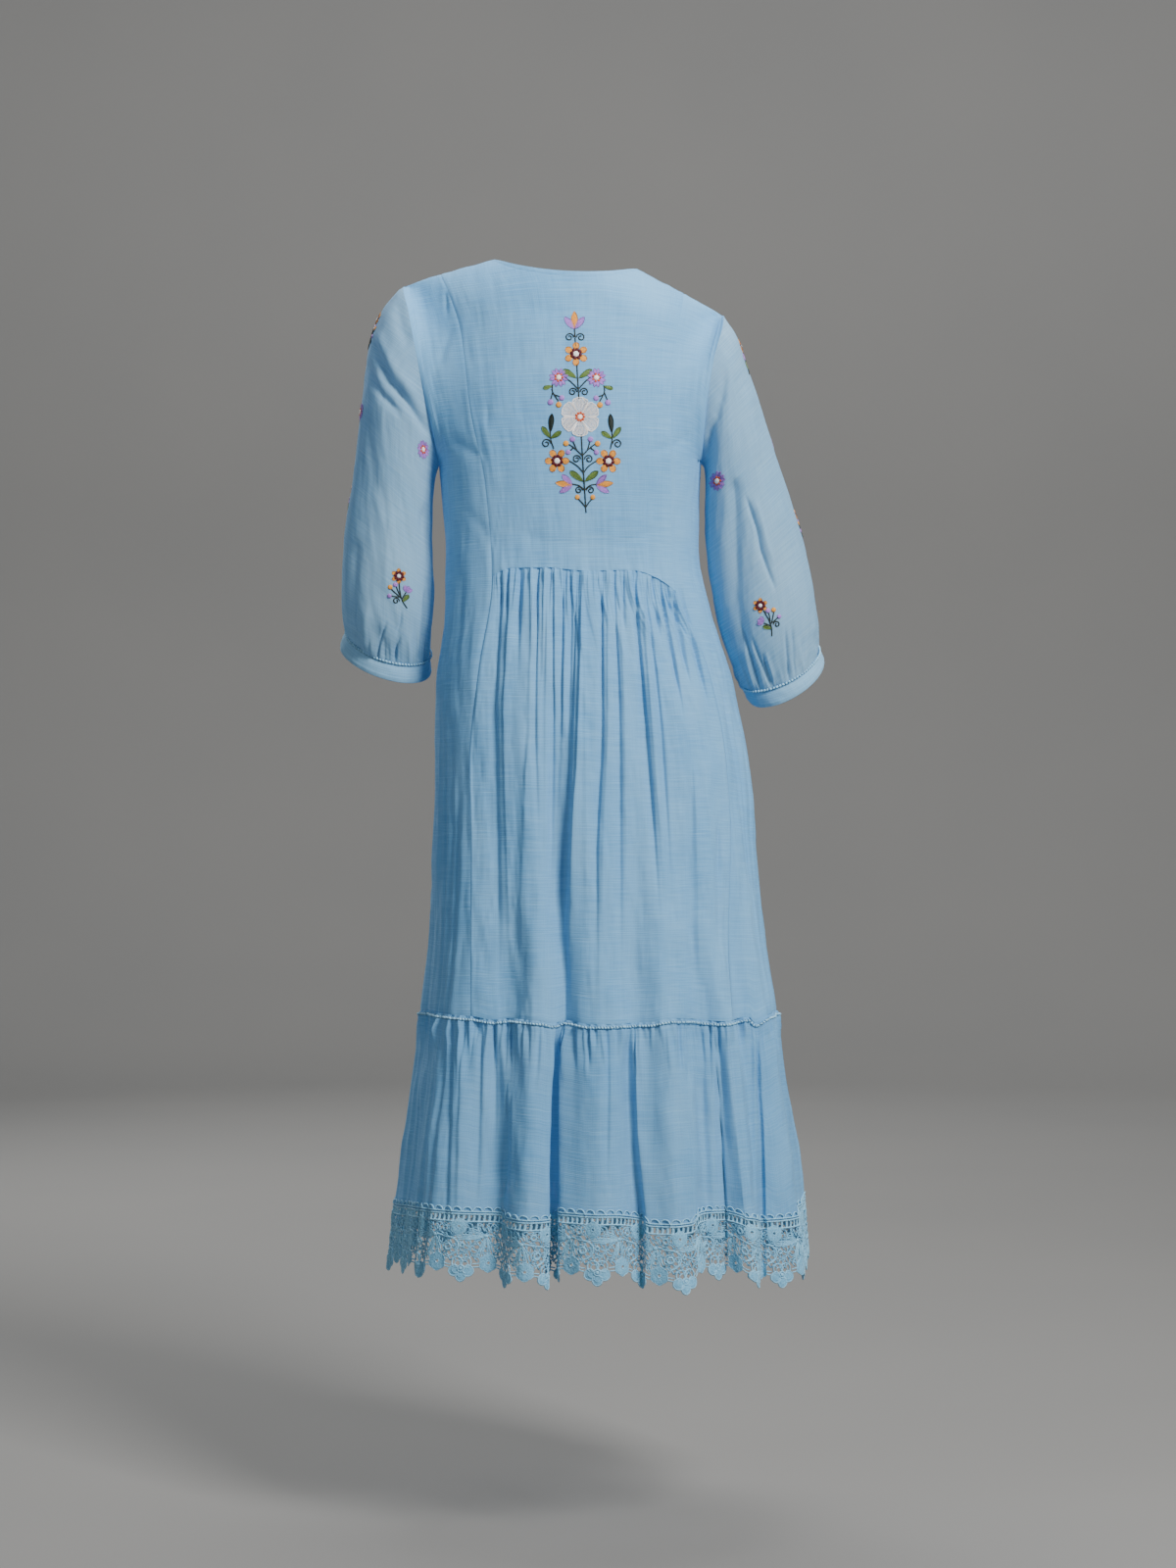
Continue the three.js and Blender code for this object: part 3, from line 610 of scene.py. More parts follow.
class Nodes:
    """A short way to write a node tree."""

    def __init__(self, name):
        self.material = bpy.data.materials.new(name)
        self.material.use_nodes = True
        self.tree = self.material.node_tree
        self.shader = self.tree.nodes["Principled BSDF"]
        self.output = self.tree.nodes["Material Output"]

    def add(self, kind, inputs=(), **settings):
        node = self.tree.nodes.new(kind)
        for key, value in settings.items():
            setattr(node, key, value)
        for key, value in dict(inputs).items():
            self.feed(node.inputs[key], value)
        return node

    def feed(self, socket, value):
        if isinstance(value, bpy.types.NodeSocket):
            self.tree.links.new(value, socket)
        else:
            socket.default_value = value

    def uniform(self, values):
        for socket, value in values.items():
            self.shader.inputs[socket].default_value = value

    def math(self, operation, a, b=0.0, c=0.0):
        return self.add("ShaderNodeMath", {0: a, 1: b, 2: c}, operation=operation).outputs[0]

    def mix(self, factor, a, b):
        node = self.add("ShaderNodeMix", {0: factor, 6: a, 7: b}, data_type="RGBA")
        return node.outputs[2]

    def noise(self, vector, scale, detail=2.0, roughness=0.5):
        """Noise of that many cells a metre along each axis."""
        sized = self.add("ShaderNodeVectorMath", {0: vector, 1: scale}, operation="MULTIPLY").outputs[0]
        inputs = {"Vector": sized, "Scale": 1.0, "Detail": detail, "Roughness": roughness}
        return self.add("ShaderNodeTexNoise", inputs).outputs["Fac"]

    def ramp(self, factor, low, high):
        inputs = {"Value": factor, "From Min": low, "From Max": high}
        return self.add("ShaderNodeMapRange", inputs, clamp=True).outputs[0]


def colour(*srgb):
    """A colour given as the eye sees it, from 0 to 255, in the linear values that a shader takes."""
    def linear(value):
        value /= 255
        return value / 12.92 if value <= 0.04045 else ((value + 0.055) / 1.055) ** 2.4

    return (*(linear(value) for value in srgb), 1.0)


def cloth_material(name, through, tones, slubs=1.0, open_share=0.0):
    """Slubbed crinkle gauze in a light, a middle and a dark tone. Through is the share of light that shines
    through it, and open_share the share of it that one sees straight through, between its threads."""
    light, mid, dark = (colour(*tone) for tone in tones)
    n = Nodes(name)
    uv = n.add("ShaderNodeTexCoord").outputs["UV"]
    slub = n.ramp(n.noise(uv, (16, 860, 1), 1.0, 0.5), 0.38, 0.66)
    long_slub = n.ramp(n.noise(uv, (9, 460, 1), 1.0, 0.5), 0.56, 0.76)
    warp = n.noise(uv, (700, 20, 1), 1.5, 0.5)
    grain = n.noise(uv, (1000, 1000, 1), 1.0, 0.6)
    patch = n.noise(uv, (9, 7, 1), 2.0, 0.5)
    height = n.math("MULTIPLY_ADD", slub, 0.28 * slubs, n.math("MULTIPLY", warp, 0.5))
    height = n.math("MULTIPLY_ADD", grain, 0.3, height)
    height = n.math("MULTIPLY_ADD", long_slub, 0.35 * slubs, height)
    bump = n.add("ShaderNodeBump", {"Height": height, "Strength": 0.5, "Distance": 0.0006}).outputs[0]
    shade = n.math("MULTIPLY_ADD", warp, 0.5, n.math("MULTIPLY", grain, 0.15))
    shade = n.math("MULTIPLY_ADD", slub, 0.3, shade)
    base = n.mix(n.ramp(shade, 0.22, 0.72), dark, mid)
    base = n.mix(n.math("MULTIPLY", slub, 0.08), base, light)
    base = n.mix(n.math("MULTIPLY", long_slub, 0.22), base, light)
    base = n.mix(n.math("MULTIPLY", n.ramp(patch, 0.35, 0.7), 0.25), base, light)
    n.feed(n.shader.inputs["Base Color"], base)
    n.uniform({
        "Roughness": 0.82, "Specular IOR Level": 0.25, "Sheen Weight": 0.15, "Sheen Roughness": 0.5,
        "Sheen Tint": colour(190, 220, 240),
    })
    n.feed(n.shader.inputs["Normal"], bump)
    behind = n.add("ShaderNodeBsdfTranslucent", {"Color": base, "Normal": bump})
    both = n.add("ShaderNodeMixShader", {0: through, 1: n.shader.outputs[0], 2: behind.outputs[0]})
    if open_share:
        clear = n.add("ShaderNodeBsdfTransparent")
        both = n.add("ShaderNodeMixShader", {0: open_share, 1: both.outputs[0], 2: clear.outputs[0]})
    n.feed(n.output.inputs["Surface"], both.outputs[0])
    return n.material


def thread_material(name, light, dark, cells, rough, sheen):
    """Twisted or stitched thread, with its fibres as fine noise of that many cells a metre."""
    n = Nodes(name)
    place = n.add("ShaderNodeTexCoord").outputs["Object"]
    fibre = n.noise(place, (cells, cells, cells), 2.0, 0.6)
    n.feed(n.shader.inputs["Base Color"], n.mix(n.ramp(fibre, 0.35, 0.65), colour(*dark), colour(*light)))
    bump = n.add("ShaderNodeBump", {"Height": fibre, "Strength": 0.6, "Distance": 0.0004}).outputs[0]
    n.feed(n.shader.inputs["Normal"], bump)
    n.uniform({"Roughness": rough, "Specular IOR Level": 0.35, "Sheen Weight": sheen})
    return n.material


BLUES = (155, 209, 242), (120, 183, 227), (98, 162, 213)
GAUZE = cloth_material("gauze", 0.18, BLUES)
SHEER_GAUZE = cloth_material("sheer gauze", 0.2, BLUES, open_share=0.08)
SLEEVE_GAUZE = cloth_material("sleeve gauze", 0.32, ((184, 220, 242), (150, 198, 228), (124, 176, 213)), 0.6)
CUFF_GAUZE = cloth_material("cuff gauze", 0.2, ((176, 217, 242), (144, 196, 229), (118, 174, 214)), 0.8)


# ---------------------------------------------------------------- the body's cloth


def at_neck(points):
    """1 where a grid's column starts at the neck, and 0 where it starts at a shoulder seam."""
    return 1 - smoothstep(np.abs(points[:1, :, :1]), NECK_HALF + 1, NECK_HALF + 12)


NECK_HEM = 9  # the depth of the narrow hem round the neck
HEM_ROLL = 0.7  # the radius of its fold


def turned_in(points, normals, uv):
    """The same grid with its edge along the neck rolled over and turned down inside, as a narrow hem."""
    down_way = unit(points[1:2] - points[:1])
    inwards = -normals[:1]
    neck = 0.02 + 0.98 * at_neck(points)
    reach, roll = NECK_HEM * neck, HEM_ROLL * neck
    rows, places = [], []
    for k in range(5):
        rows.append(points[:1] + inwards * 2 * roll + down_way * reach * (1 - k / 5))
        places.append(uv[:1] + [0, NECK_HEM * (1 - k / 5)])
    for k in range(1, 4):
        a = math.pi * k / 4
        rows.append(points[:1] + inwards * roll * (1 + math.cos(a)) - down_way * roll * math.sin(a))
        places.append(uv[:1])
    return np.concatenate([*rows, points]), np.concatenate([*places, uv])


def near_edges(points):
    """Distances along the cloth from a grid's left, right, top and bottom edges."""
    across, down = run_lengths(points, 1), run_lengths(points, 0)
    return across, across[:, -1:] - across, down, down[-1:] - down


BODICE_CREASES = [
    ([(-142, -30), (-142, -52), (-141, -74)], -2.6, 2.2),
    ([(-133, -82), (-142, -108), (-153, -136)], -2.4, 4.5),
    ([(-91, -178), (-91, -216)], -1.2, 3.5),
    ([(-96, -196), (-88, -240), (-82, -286)], 1.2, 6.0),
    ([(118, -150), (122, -200), (120, -260)], 1.2, 6.0),
    ([(150, -210), (128, -228), (96, -238)], -1.6, 7.0),
    ([(-140, -214), (-118, -232), (-90, -244)], -1.8, 7.0),
    ([(-60, -330), (-20, -344), (30, -346)], -1.0, 8.0),
    ([(40, -352), (80, -340), (112, -322)], -1.2, 7.0),
    ([(-120, -300), (-100, -322), (-80, -350)], -1.4, 6.0),
    ([(140, -286), (130, -320), (124, -352)], -1.3, 6.0),
    ([(-60, -60), (-20, -72), (40, -70)], -0.8, 9.0),
]
FRONT_CREASES = [
    ([(-140, -60), (-128, -100), (-96, -150)], -1.6, 6.0),
    ([(138, -80), (126, -120), (98, -160)], -1.6, 6.0),
    ([(-152, -222), (-130, -250), (-112, -310)], -1.4, 7.0),
    ([(154, -226), (136, -256), (118, -316)], -1.4, 7.0),
    ([(-70, -320), (-74, -400), (-80, -470)], -1.2, 8.0),
    ([(66, -330), (70, -400), (78, -480)], -1.2, 8.0),
    ([(-40, -130), (0, -142), (44, -132)], -0.8, 10.0),
]


def body_relief(face, points, angle):
    x, z = points[..., 0], points[..., 2]
    out = weave_relief(face, angle, z)
    out += crease_relief(x, z, BODICE_CREASES if face == BACK else FRONT_CREASES)
    if face == BACK:
        return out + 1.45 * vertical_folds(x, z, SKIRT_FOLDS, SKIRT_LEVELS) * (z < waist_line(x) + 1)
    place = round_place(face, angle)
    out += hidden_folds(place, z, 11, (96, 264), (-600, -400), TIER_SEAM, (1.5, 5.0), (3.5, 9), 7.5)
    return out


def waist_line(x):
    """The waist seam's height at an x, with the princess seams taken where they meet it."""
    low, high = princess_x["left"](-380), princess_x["right"](-380)
    return waist_seam(np.clip((x - low) / (high - low), 0, 1))


def build_body():
    pieces = {}

    def finish(name, points, out, width, level_row):
        left, right, down, up = near_edges(points)
        sides = smoothstep(np.minimum(left, right), 0, 5)
        top = smoothstep(down, 0, 4) if name != "back_skirt" else 1
        normals, flip = grid_normals(points, body_middle(points))
        # An armhole's edge is no seam of the panel's own: only below the armpit is there one.
        lower = smoothstep(-points[..., 2], -ARMPIT - 8, -ARMPIT + 2)
        depth = 1.3 if name == "back_skirt" else 0.7
        stitched = depth * seam_relief(left) * (lower if name in ("side_back_left", "front") else 1)
        stitched += depth * seam_relief(right) * (lower if name in ("side_back_right", "front") else 1)
        if name == "back_skirt":
            stitched -= 0.7 * np.exp(-((down / 1.0) ** 2))
        else:
            neck = at_neck(points)[..., 0]
            hem = 0.3 * (1 - smoothstep(down, 6, 8)) - 0.35 * np.exp(-(((down - 8) / 0.9) ** 2))
            stitched += neck * hem + (1 - neck) * 0.6 * seam_relief(down)
        if name == "back_bodice":
            stitched += 0.12 * (1 - smoothstep(up, 5, 8))
        else:
            stitched += seam_relief(up)
        pucker = 0.12 * np.sin(down / 1.5 + 1.7 * wave(down, left)) * (np.exp(-left / 7) + np.exp(-right / 7))
        out = (out * sides + pucker * sides) * top + stitched
        uv = cloth_uv(points, width, level_row)
        face = FRONT if name == "front" else BACK
        shown = with_seam_lifted(face, raised(points, normals, out))
        if name == "back_skirt":
            shown = rolled(face, shown, [SKIRT_ROLL], SKIRT_LEVELS, -600)
        if name in ("back_bodice", "front"):
            shown, uv = turned_in(shown, normals, uv)
        pieces[name] = cloth_piece(name, shown, flip, GAUZE, uv)

    points, angle = body_grid(BACK, between_princesses, 220, BACK_NECK_DIP, 96, waist_seam, 50)
    finish("back_bodice", points, body_relief(BACK, points, angle), 300, 96)

    points, angle = body_grid(BACK, between_princesses, 330, None, 0, TIER_SEAM, 140)
    across, down = run_lengths(points, 1), run_lengths(points, 0)
    out = body_relief(BACK, points, angle)
    seam_run = across[0] + np.zeros_like(across)
    out += gather_relief(seam_run, down, 21, seam_run.max(), 5.4, 3.0, 84, narrow=1.7)
    out += gather_relief(seam_run, down, 22, seam_run.max(), 3.0, 1.9, 16, narrow=1.1)
    finish("back_skirt", points, out, 620, -1)

    for side, sign in SIDE.items():
        points, angle = body_grid(BACK, beside_princess[side], 46, 0, 62, TIER_SEAM, 124)
        z, span = points[..., 2], (-86, -52) if side == "left" else (58, 88)
        out = body_relief(BACK, points, angle)
        out += hidden_folds(angle, z, 31 + sign, span, (-640, -400), TIER_SEAM, (1.5, 3.6), (2.4, 6), 4.5)
        finish(f"side_back_{side}", points, out, 150, 62)

    points, angle = body_grid(FRONT, from_side_to_side, 170, FRONT_NECK_DIP, 50, TIER_SEAM, 116)
    finish("front", points, body_relief(FRONT, points, angle), 520, 50)
    return pieces


body = build_body()


# ---------------------------------------------------------------- the lower tier


def tier_relief(face, points, angle):
    x, z = points[..., 0], points[..., 2]
    out = 1.1 * weave_relief(face, angle, z)
    place = round_place(face, angle)
    if face == BACK:
        out += vertical_folds(x, z, TIER_FOLDS, TIER_LEVELS)
        out += hidden_folds(place, z, 41, (-88, -48), (-900, -899), HEM, (1.5, 4), (3.5, 7), 5)
    else:
        out += hidden_folds(place, z, 43, (94, 266), (-901, -897), HEM - 100, (3, 9), (3.5, 8), 5.5)
    u = (place + 90) * ROUND_MM
    seed = 51 if face == BACK else 53
    out += gather_relief(u, TIER_SEAM - z, seed, 360 * ROUND_MM, 5.4, 3.8, 44, narrow=1.35)
    out += gather_relief(u, TIER_SEAM - z, seed + 1, 360 * ROUND_MM, 3.2, 2.2, 15, narrow=1.0)
    return out * smoothstep(90 - np.abs(angle), 0, 2.0)


def tier_surface(face, angle, z):
    """Places on the tier and the lace under it, with the folds' lift, for a level before that lift."""
    share = np.clip((TIER_SEAM - z) / (TIER_SEAM - LACE_SEAM), 0, 1)
    lifted = z + lift_at(round_place(face, angle)) * share
    return body_points(face, angle, lifted)


BEHIND_LACE = 9  # how far the tier runs on down behind the lace's heading


def tier_grid(face, columns, levels):
    """A grid over the tier's surface with its relief: its points and its directions outwards."""
    angle, z = np.meshgrid(np.linspace(-90, 90, columns + 1), levels)
    points = tier_surface(face, angle, z)
    normals, flip = grid_normals(points, body_middle(points))
    shown = raised(points, normals, tier_relief(face, points, angle))
    return rolled(face, shown, TIER_ROLLS, TIER_LEVELS, TIER_SEAM + 20), normals, flip


def build_tier():
    """The two halves, and the line of their top edge all the way round, with the directions outwards."""
    top, outwards = [], []
    for face, columns, rows in ((BACK, 540, 54), (FRONT, 380, 46)):
        name = "tier_back" if face == BACK else "tier_front"
        levels = np.linspace(TIER_SEAM, LACE_SEAM - BEHIND_LACE, rows + 1)
        points, normals, flip = tier_grid(face, columns, levels)
        points = with_seam_lifted(face, points)
        left, right, down, _ = near_edges(points)
        shown = raised(points, normals, seam_relief(left, right, down))
        uv = cloth_uv(points, 1050)
        cloth_piece(name, shown, flip, SHEER_GAUZE, uv)
        order = slice(None, -1) if face == BACK else slice(None, 0, -1)
        top.append(points[1][order])
        outwards.append(normals[1][order])
    return np.concatenate(top), np.concatenate(outwards)


tier_top, tier_outwards = build_tier()


# ---------------------------------------------------------------- the sleeves and their cuffs

# Seen from behind: the crease's line of (x, height), how far out it moves the cloth, its half width.
SLEEVE_CREASES = {
    "left": [
        (
            [(-234, -92), (-223, -121), (-209, -150), (-194, -167), (-182, -181), (-171, -196), (-163, -214)],
            -5.0, 4.6,
        ),
        ([(-240, -115), (-231, -144), (-217, -167), (-203, -181), (-194, -193)], -3.2, 4.0),
        ([(-228, -84), (-216, -110), (-201, -138), (-187, -156), (-173, -172)], 2.6, 6.0),
        ([(-200, -48), (-195, -80), (-186, -109)], -2.4, 5.0),
        ([(-238, -185), (-229, -243), (-223, -289)], -2.0, 8.0),
        ([(-169, -289), (-172, -330)], -2.4, 3.5),
        ([(-252, -398), (-252, -418), (-252, -436), (-250, -462)], -3.0, 1.6),
        ([(-212, -433), (-219, -449), (-223, -462), (-226, -482)], -3.4, 1.5),
        ([(-195, -420), (-196, -434), (-201, -448)], -2.4, 1.4),
        ([(-196, -450), (-202, -465), (-206, -486)], -3.0, 1.5),
        ([(-168, -395), (-169, -427), (-171, -449), (-174, -462), (-178, -486)], -4.2, 1.7),
        ([(-184, -440), (-188, -462), (-192, -488)], 1.6, 4.0),
        ([(-236, -410), (-237, -440), (-236, -474)], 2.0, 5.0),
        ([(-206, -300), (-212, -350), (-216, -400)], 1.6, 9.0),
        ([(-250, -330), (-252, -380), (-256, -430)], -2.8, 6.0),
    ],
    "right": [
        ([(191, -133), (187, -162), (179, -191), (172, -208), (167, -237)], -3.4, 4.2),
        ([(214, -284), (220, -300), (228, -324), (233, -350), (242, -374), (251, -396)], -3.8, 2.2),
        ([(224, -286), (233, -315), (240, -345), (250, -368)], 1.8, 3.4),
        ([(201, -262), (201, -330), (203, -400), (212, -470)], -4.4, 10.0),
        ([(206, -436), (213, -453), (222, -476), (233, -514)], -3.4, 1.8),
        ([(222, -452), (236, -488), (248, -514)], -3.0, 1.6),
        ([(234, -470), (241, -491), (251, -514)], -3.0, 1.5),
        ([(238, -466), (246, -490), (256, -512)], 1.6, 2.4),
        ([(262, -440), (265, -476), (268, -508)], -2.6, 1.6),
        ([(270, -436), (272, -462), (275, -504)], -2.8, 1.6),
        ([(286, -444), (284, -470), (281, -500)], -2.0, 1.6),
        ([(300, -440), (301, -466)], -2.0, 1.8),
        ([(215, -150), (222, -200), (230, -250)], 1.6, 9.0),
    ],
}


def sleeve_ring(side, ring, turn):
    cosine, sine = np.cos(turn), np.sin(turn)
    if ring == 0:
        tip, behind, ahead = ARMHOLES[side]
        z = lerp(tip, ARMPIT, (1 - cosine) / 2)
        x = (left_edge if side == "left" else right_edge)(z)
        return np.stack([x, -np.where(sine > 0, behind, ahead) * sine, z], axis=-1)
    outer_x, outer_z, inner_x, inner_z, ahead, half, drop = SLEEVES[side][ring - 1]
    x = (outer_x + inner_x) / 2 + (outer_x - inner_x) / 2 * cosine
    z = (outer_z + inner_z) / 2 + (outer_z - inner_z) / 2 * cosine - drop * sine
    return np.stack([x, ahead - half * sine, z], axis=-1)


def smooth_loft(rings, counts):
    """Rows on smooth curves through the rings, with that many steps between each ring and the next."""
    spans = np.linalg.norm(np.diff(rings, axis=0), axis=-1).mean(axis=1)
    at = np.concatenate([[0], np.cumsum(spans)])
    slopes = np.diff(rings, axis=0) / spans[:, None, None]
    tangents = np.concatenate([slopes[:1], (slopes[:-1] + slopes[1:]) / 2, slopes[-1:]])
    rows = []
    for k, count in enumerate(counts):
        for step in range(count + (k == len(counts) - 1)):
            t = step / count
            rows.append(
                rings[k] * (1 + 2 * t) * (1 - t) ** 2 + rings[k + 1] * t * t * (3 - 2 * t)
                + spans[k] * (tangents[k] * t * (1 - t) ** 2 - tangents[k + 1] * t * t * (1 - t))
            )
    return np.array(rows)


SLEEVE_STEPS = (6, 8, 16, 18, 20, 18, 20)
AROUND = 300
SLEEVE_GIRTH = 2 * math.pi * 55
CUFF_GIRTH = 330


def sleeve_turns():
    """Round the arm from the seam under it, which is where the sleeve's edges are sewn together."""
    return np.linspace(np.pi, 3 * np.pi, AROUND + 1)


def build_sleeve(side):
    turn = sleeve_turns()
    rings = np.array([sleeve_ring(side, k, turn) for k in range(CUFF_RING + 2)])
    points = smooth_loft(rings[: CUFF_RING + 1], SLEEVE_STEPS)
    middle = points[:, :-1].mean(axis=1)[:, None, :] + np.zeros_like(points)
    normals, flip = grid_normals(points, middle, ring=True)
    across, down = run_lengths(points, 1), run_lengths(points, 0)
    up = down[-1:] - down
    x, z = points[..., 0], points[..., 2]
    behind = smoothstep(np.sin(turn), -0.25, 0.25)[None, :]
    creases = 1.25 * crease_relief(x, z, SLEEVE_CREASES[side])
    ahead = crease_relief(x + 6, z + 26, SLEEVE_CREASES[side])
    girth = SLEEVE_GIRTH
    u = (turn - np.pi) / (2 * np.pi) * girth + np.zeros_like(across)
    seed = 60 + SIDE[side]
    out = creases * behind + 0.8 * ahead * (1 - behind)
    for more, size_u, size_v, height in ((0, 40, 55, 1.6), (5, 12, 26, 0.7), (7, 5, 12, 0.3)):
        out += height * noise_field(seed + more, size_u, size_v, girth)(u, down)
    out += gather_relief(u, up, seed + 10, girth, 7, 2.6, 36, narrow=1.6, spread=0.05)
    head = gather_relief(u, down, seed + 20, girth, 16, 0.9, 16, narrow=2.6, spread=0.08)
    out = (out + head * (np.cos(turn) > 0)) * smoothstep(down, 0, 7)
    under = np.minimum(across, across[:, -1:] - across)
    out += seam_relief(up) + 0.7 * seam_relief(under) * smoothstep(down, 0, 7)
    shown = raised(points, normals, out)
    shown[:, -1] = shown[:, 0]
    uv = cloth_uv(points, 440, sum(SLEEVE_STEPS[:4]))
    return cloth_piece(f"sleeve_{side}", shown, flip, SLEEVE_GAUZE, uv)


CUFF_TURN = 1.0  # radius of the fold at the cuff's edge
CUFF_ROWS = 15
CUFF_INSIDE = 0.7  # the share of the cuff's depth that is doubled back inside it


def build_cuff(side):
    """The cuff, doubled back inside itself, and its top edge with the directions outwards."""
    turn = sleeve_turns()
    top, bottom = sleeve_ring(side, CUFF_RING, turn), sleeve_ring(side, CUFF_RING + 1, turn)
    shares = np.linspace(0, 1, CUFF_ROWS)
    band = np.array([lerp(top, bottom, share) for share in shares])
    middle = band[:, :-1].mean(axis=1)[:, None, :] + np.zeros_like(band)
    normals, flip = grid_normals(band, middle, ring=True)
    down_way = unit(bottom - top)
    bulge = 0.9 * np.sin(np.pi * shares) - 0.5
    seed = 80 + SIDE[side]
    u = (turn - np.pi) / (2 * np.pi) * CUFF_GIRTH + np.zeros(band.shape[:2])
    v = run_lengths(band, 0)
    out = bulge[:, None] + 0.5 * noise_field(seed, 14, 10, CUFF_GIRTH)(u, v)
    out += 0.25 * noise_field(seed + 1, 6, 6, CUFF_GIRTH)(u, v)
    out += 0.5 * np.exp(-(((v[-1:] - v - 3) / 1.2) ** 2))
    outside = raised(band, normals, out)
    rim = [
        outside[-1] - normals[-1] * CUFF_TURN * (1 - math.cos(a)) + down_way * CUFF_TURN * math.sin(a)
        for a in np.linspace(0, math.pi, 7)[1:]
    ]
    inside = [
        outside[-1 - k] - normals[-1 - k] * 2 * CUFF_TURN for k in range(1, round(CUFF_ROWS * CUFF_INSIDE))
    ]
    rows = np.array([*outside, *rim, *inside])
    rows[:, -1] = rows[:, 0]
    cloth_piece(f"cuff_{side}", rows, flip, CUFF_GAUZE, cloth_uv(rows, CUFF_GIRTH))
    return outside[0, :-1], normals[0, :-1]


sleeves, cuff_tops = {}, {}
for side in SIDE:
    sleeves[side] = build_sleeve(side)
    cuff_tops[side] = build_cuff(side)

# ---------------------------------------------------------------- threads: cords, knots, pads and petals


class Threads:
    """Thread work laid out flat, in millimetres across, down and up off the cloth, in several colours."""

    def __init__(self):
        self.points, self.faces, self.shades = [], [], []
        self.count = 0

    def add(self, points, faces, shade=0):
        points = np.asarray(points, float).reshape(-1, 3)
        self.points.append(points)
        self.faces.append(np.asarray(faces) + self.count)
        self.shades.append(np.broadcast_to(shade, len(faces)))
        self.count += len(points)

    def cord(self, line, half, height, shade=0, step=1.4, closed=False, taper=False):
        """A cord along a line of places, with a ridge along its top and a shallower one under it."""
        line = evenly(np.asarray(line, float), step, closed)
        count = len(line)
        if closed:
            ahead = np.roll(line, -1, 0) - np.roll(line, 1, 0)
        else:
            ahead = np.gradient(line, axis=0)
        side = unit(np.stack([-ahead[:, 1], ahead[:, 0]], axis=-1))
        width = np.full(count, float(half))
        if taper:
            width *= 0.35 + 0.65 * np.sin(np.pi * np.linspace(0.04, 0.96, count)) ** 0.6
        flat = np.stack([line - side * width[:, None], line, line + side * width[:, None], line], axis=1)
        rise = np.stack([0 * width, height * width / half, 0 * width, -0.4 * height + 0 * width], axis=1)
        points = np.concatenate([flat, rise[..., None]], axis=-1)
        index = np.arange(count * 4).reshape(count, 4)
        faces = tube_faces(np.vstack([index, index[:1]]) if closed else index)[:, ::-1]
        if not closed:
            faces = np.vstack([faces, index[0][::-1], index[-1]])
        self.add(points, faces, shade)

    def bar(self, start, end, half):
        """A thin straight thread, three-sided, for a net that has very many, in the lace's darker copy of its
        thread: painted shade.
        """
        ahead = unit(np.subtract(end, start))
        side = np.array([-ahead[1], ahead[0]]) * half
        section = ((side, 0), (0 * side, 0.9), (-side, 0))
        points = [[*(place + across), up] for place in (start, end) for across, up in section]
        faces = [[0, 3, 4, 1], [1, 4, 5, 2], [2, 5, 3, 0], [0, 1, 2, 0], [5, 4, 3, 5]]
        self.add(points, faces, 1)

    def pad(self, outline, height, shade=0, stitches=0.0):
        """A low closed dome over an outline, like satin stitch."""
        outline = np.asarray(outline, float)
        centre, count = outline.mean(axis=0), len(outline)
        rings = [(1.0, 0.0), (0.86, 0.75), (0.45, 1.0)]
        layers = []
        for share, rise in rings:
            flat = centre + (outline - centre) * share
            ridge = height * rise * (1 - stitches * (np.arange(count) % 2))
            layers.append(np.column_stack([flat, ridge]))
        points = np.vstack([*layers, [[*centre, height * 0.95], [*centre, -0.3 * height]]])
        index = np.arange(3 * count).reshape(3, count)
        after = np.roll(index, -1, 1)
        top, under = np.full(count, 3 * count), np.full(count, 3 * count + 1)
        fans = np.stack([index[2], after[2], top, top], -1), np.stack([after[0], index[0], under, under], -1)
        self.add(points, np.concatenate([tube_faces(index), *fans]), shade)


def evenly(line, step, closed=False):
    """The same line with its places about that far apart."""
    if closed:
        line = np.vstack([line, line[:1]])
    runs = np.concatenate([[0], np.cumsum(np.linalg.norm(np.diff(line, axis=0), axis=1))])
    count = max(3 if closed else 1, math.ceil(runs[-1] / step))
    at = np.linspace(0, runs[-1], count + 1)[: -1 if closed else None]
    return np.stack([np.interp(at, runs, line[:, k]) for k in range(line.shape[1])], axis=-1)


def rounded(line, times=2):
    """Cuts a line's corners, so that it runs in curves."""
    line = np.asarray(line, float)
    for _ in range(times):
        before, after = line[:-1], line[1:]
        corners = np.stack([lerp(before, after, 0.25), lerp(before, after, 0.75)], axis=1).reshape(-1, 2)
        line = np.vstack([line[:1], corners, line[-1:]])
    return line


def arc(u, v, radius, start, stop, squash, count):
    """Places on an arc, with angles in degrees from +u towards +v."""
    a = np.radians(np.linspace(start, stop, count + 1))
    return np.stack([u + radius * np.cos(a), v + radius * squash * np.sin(a)], axis=-1)


def circle(u, v, radius, count):
    return arc(u, v, radius, 0, 360, 1.0, count)[:-1]


def petal_outline(u, v, turn, length, width, count=14, sharp=1.0, blunt=0.0):
    """A petal or leaf that grows from a place in a direction, in degrees. A higher sharp narrows its ends."""
    t = np.linspace(0, 1, count // 2 + 1)
    half = width / 2 * np.sin(np.pi * t ** (1 - 0.35 * blunt)) ** sharp
    along, across = np.concatenate([t, t[-2:0:-1]]) * length, np.concatenate([half, -half[-2:0:-1]])
    a = math.radians(turn)
    return np.stack(
        [u + along * math.cos(a) - across * math.sin(a), v + along * math.sin(a) + across * math.cos(a)], -1
    )


def thread_piece(name, threads, placed, materials, nodes=()):
    """The mesh of some threads, with their flat places already turned into places on the cloth."""
    faces = [[*dict.fromkeys(face)] for face in np.concatenate(threads.faces).tolist()]
    piece = meshed(name, placed, faces, materials)
    piece.data.polygons.foreach_set("material_index", np.concatenate(threads.shades).astype(np.int32))
    piece.data.update()
    return fitted(piece, nodes)


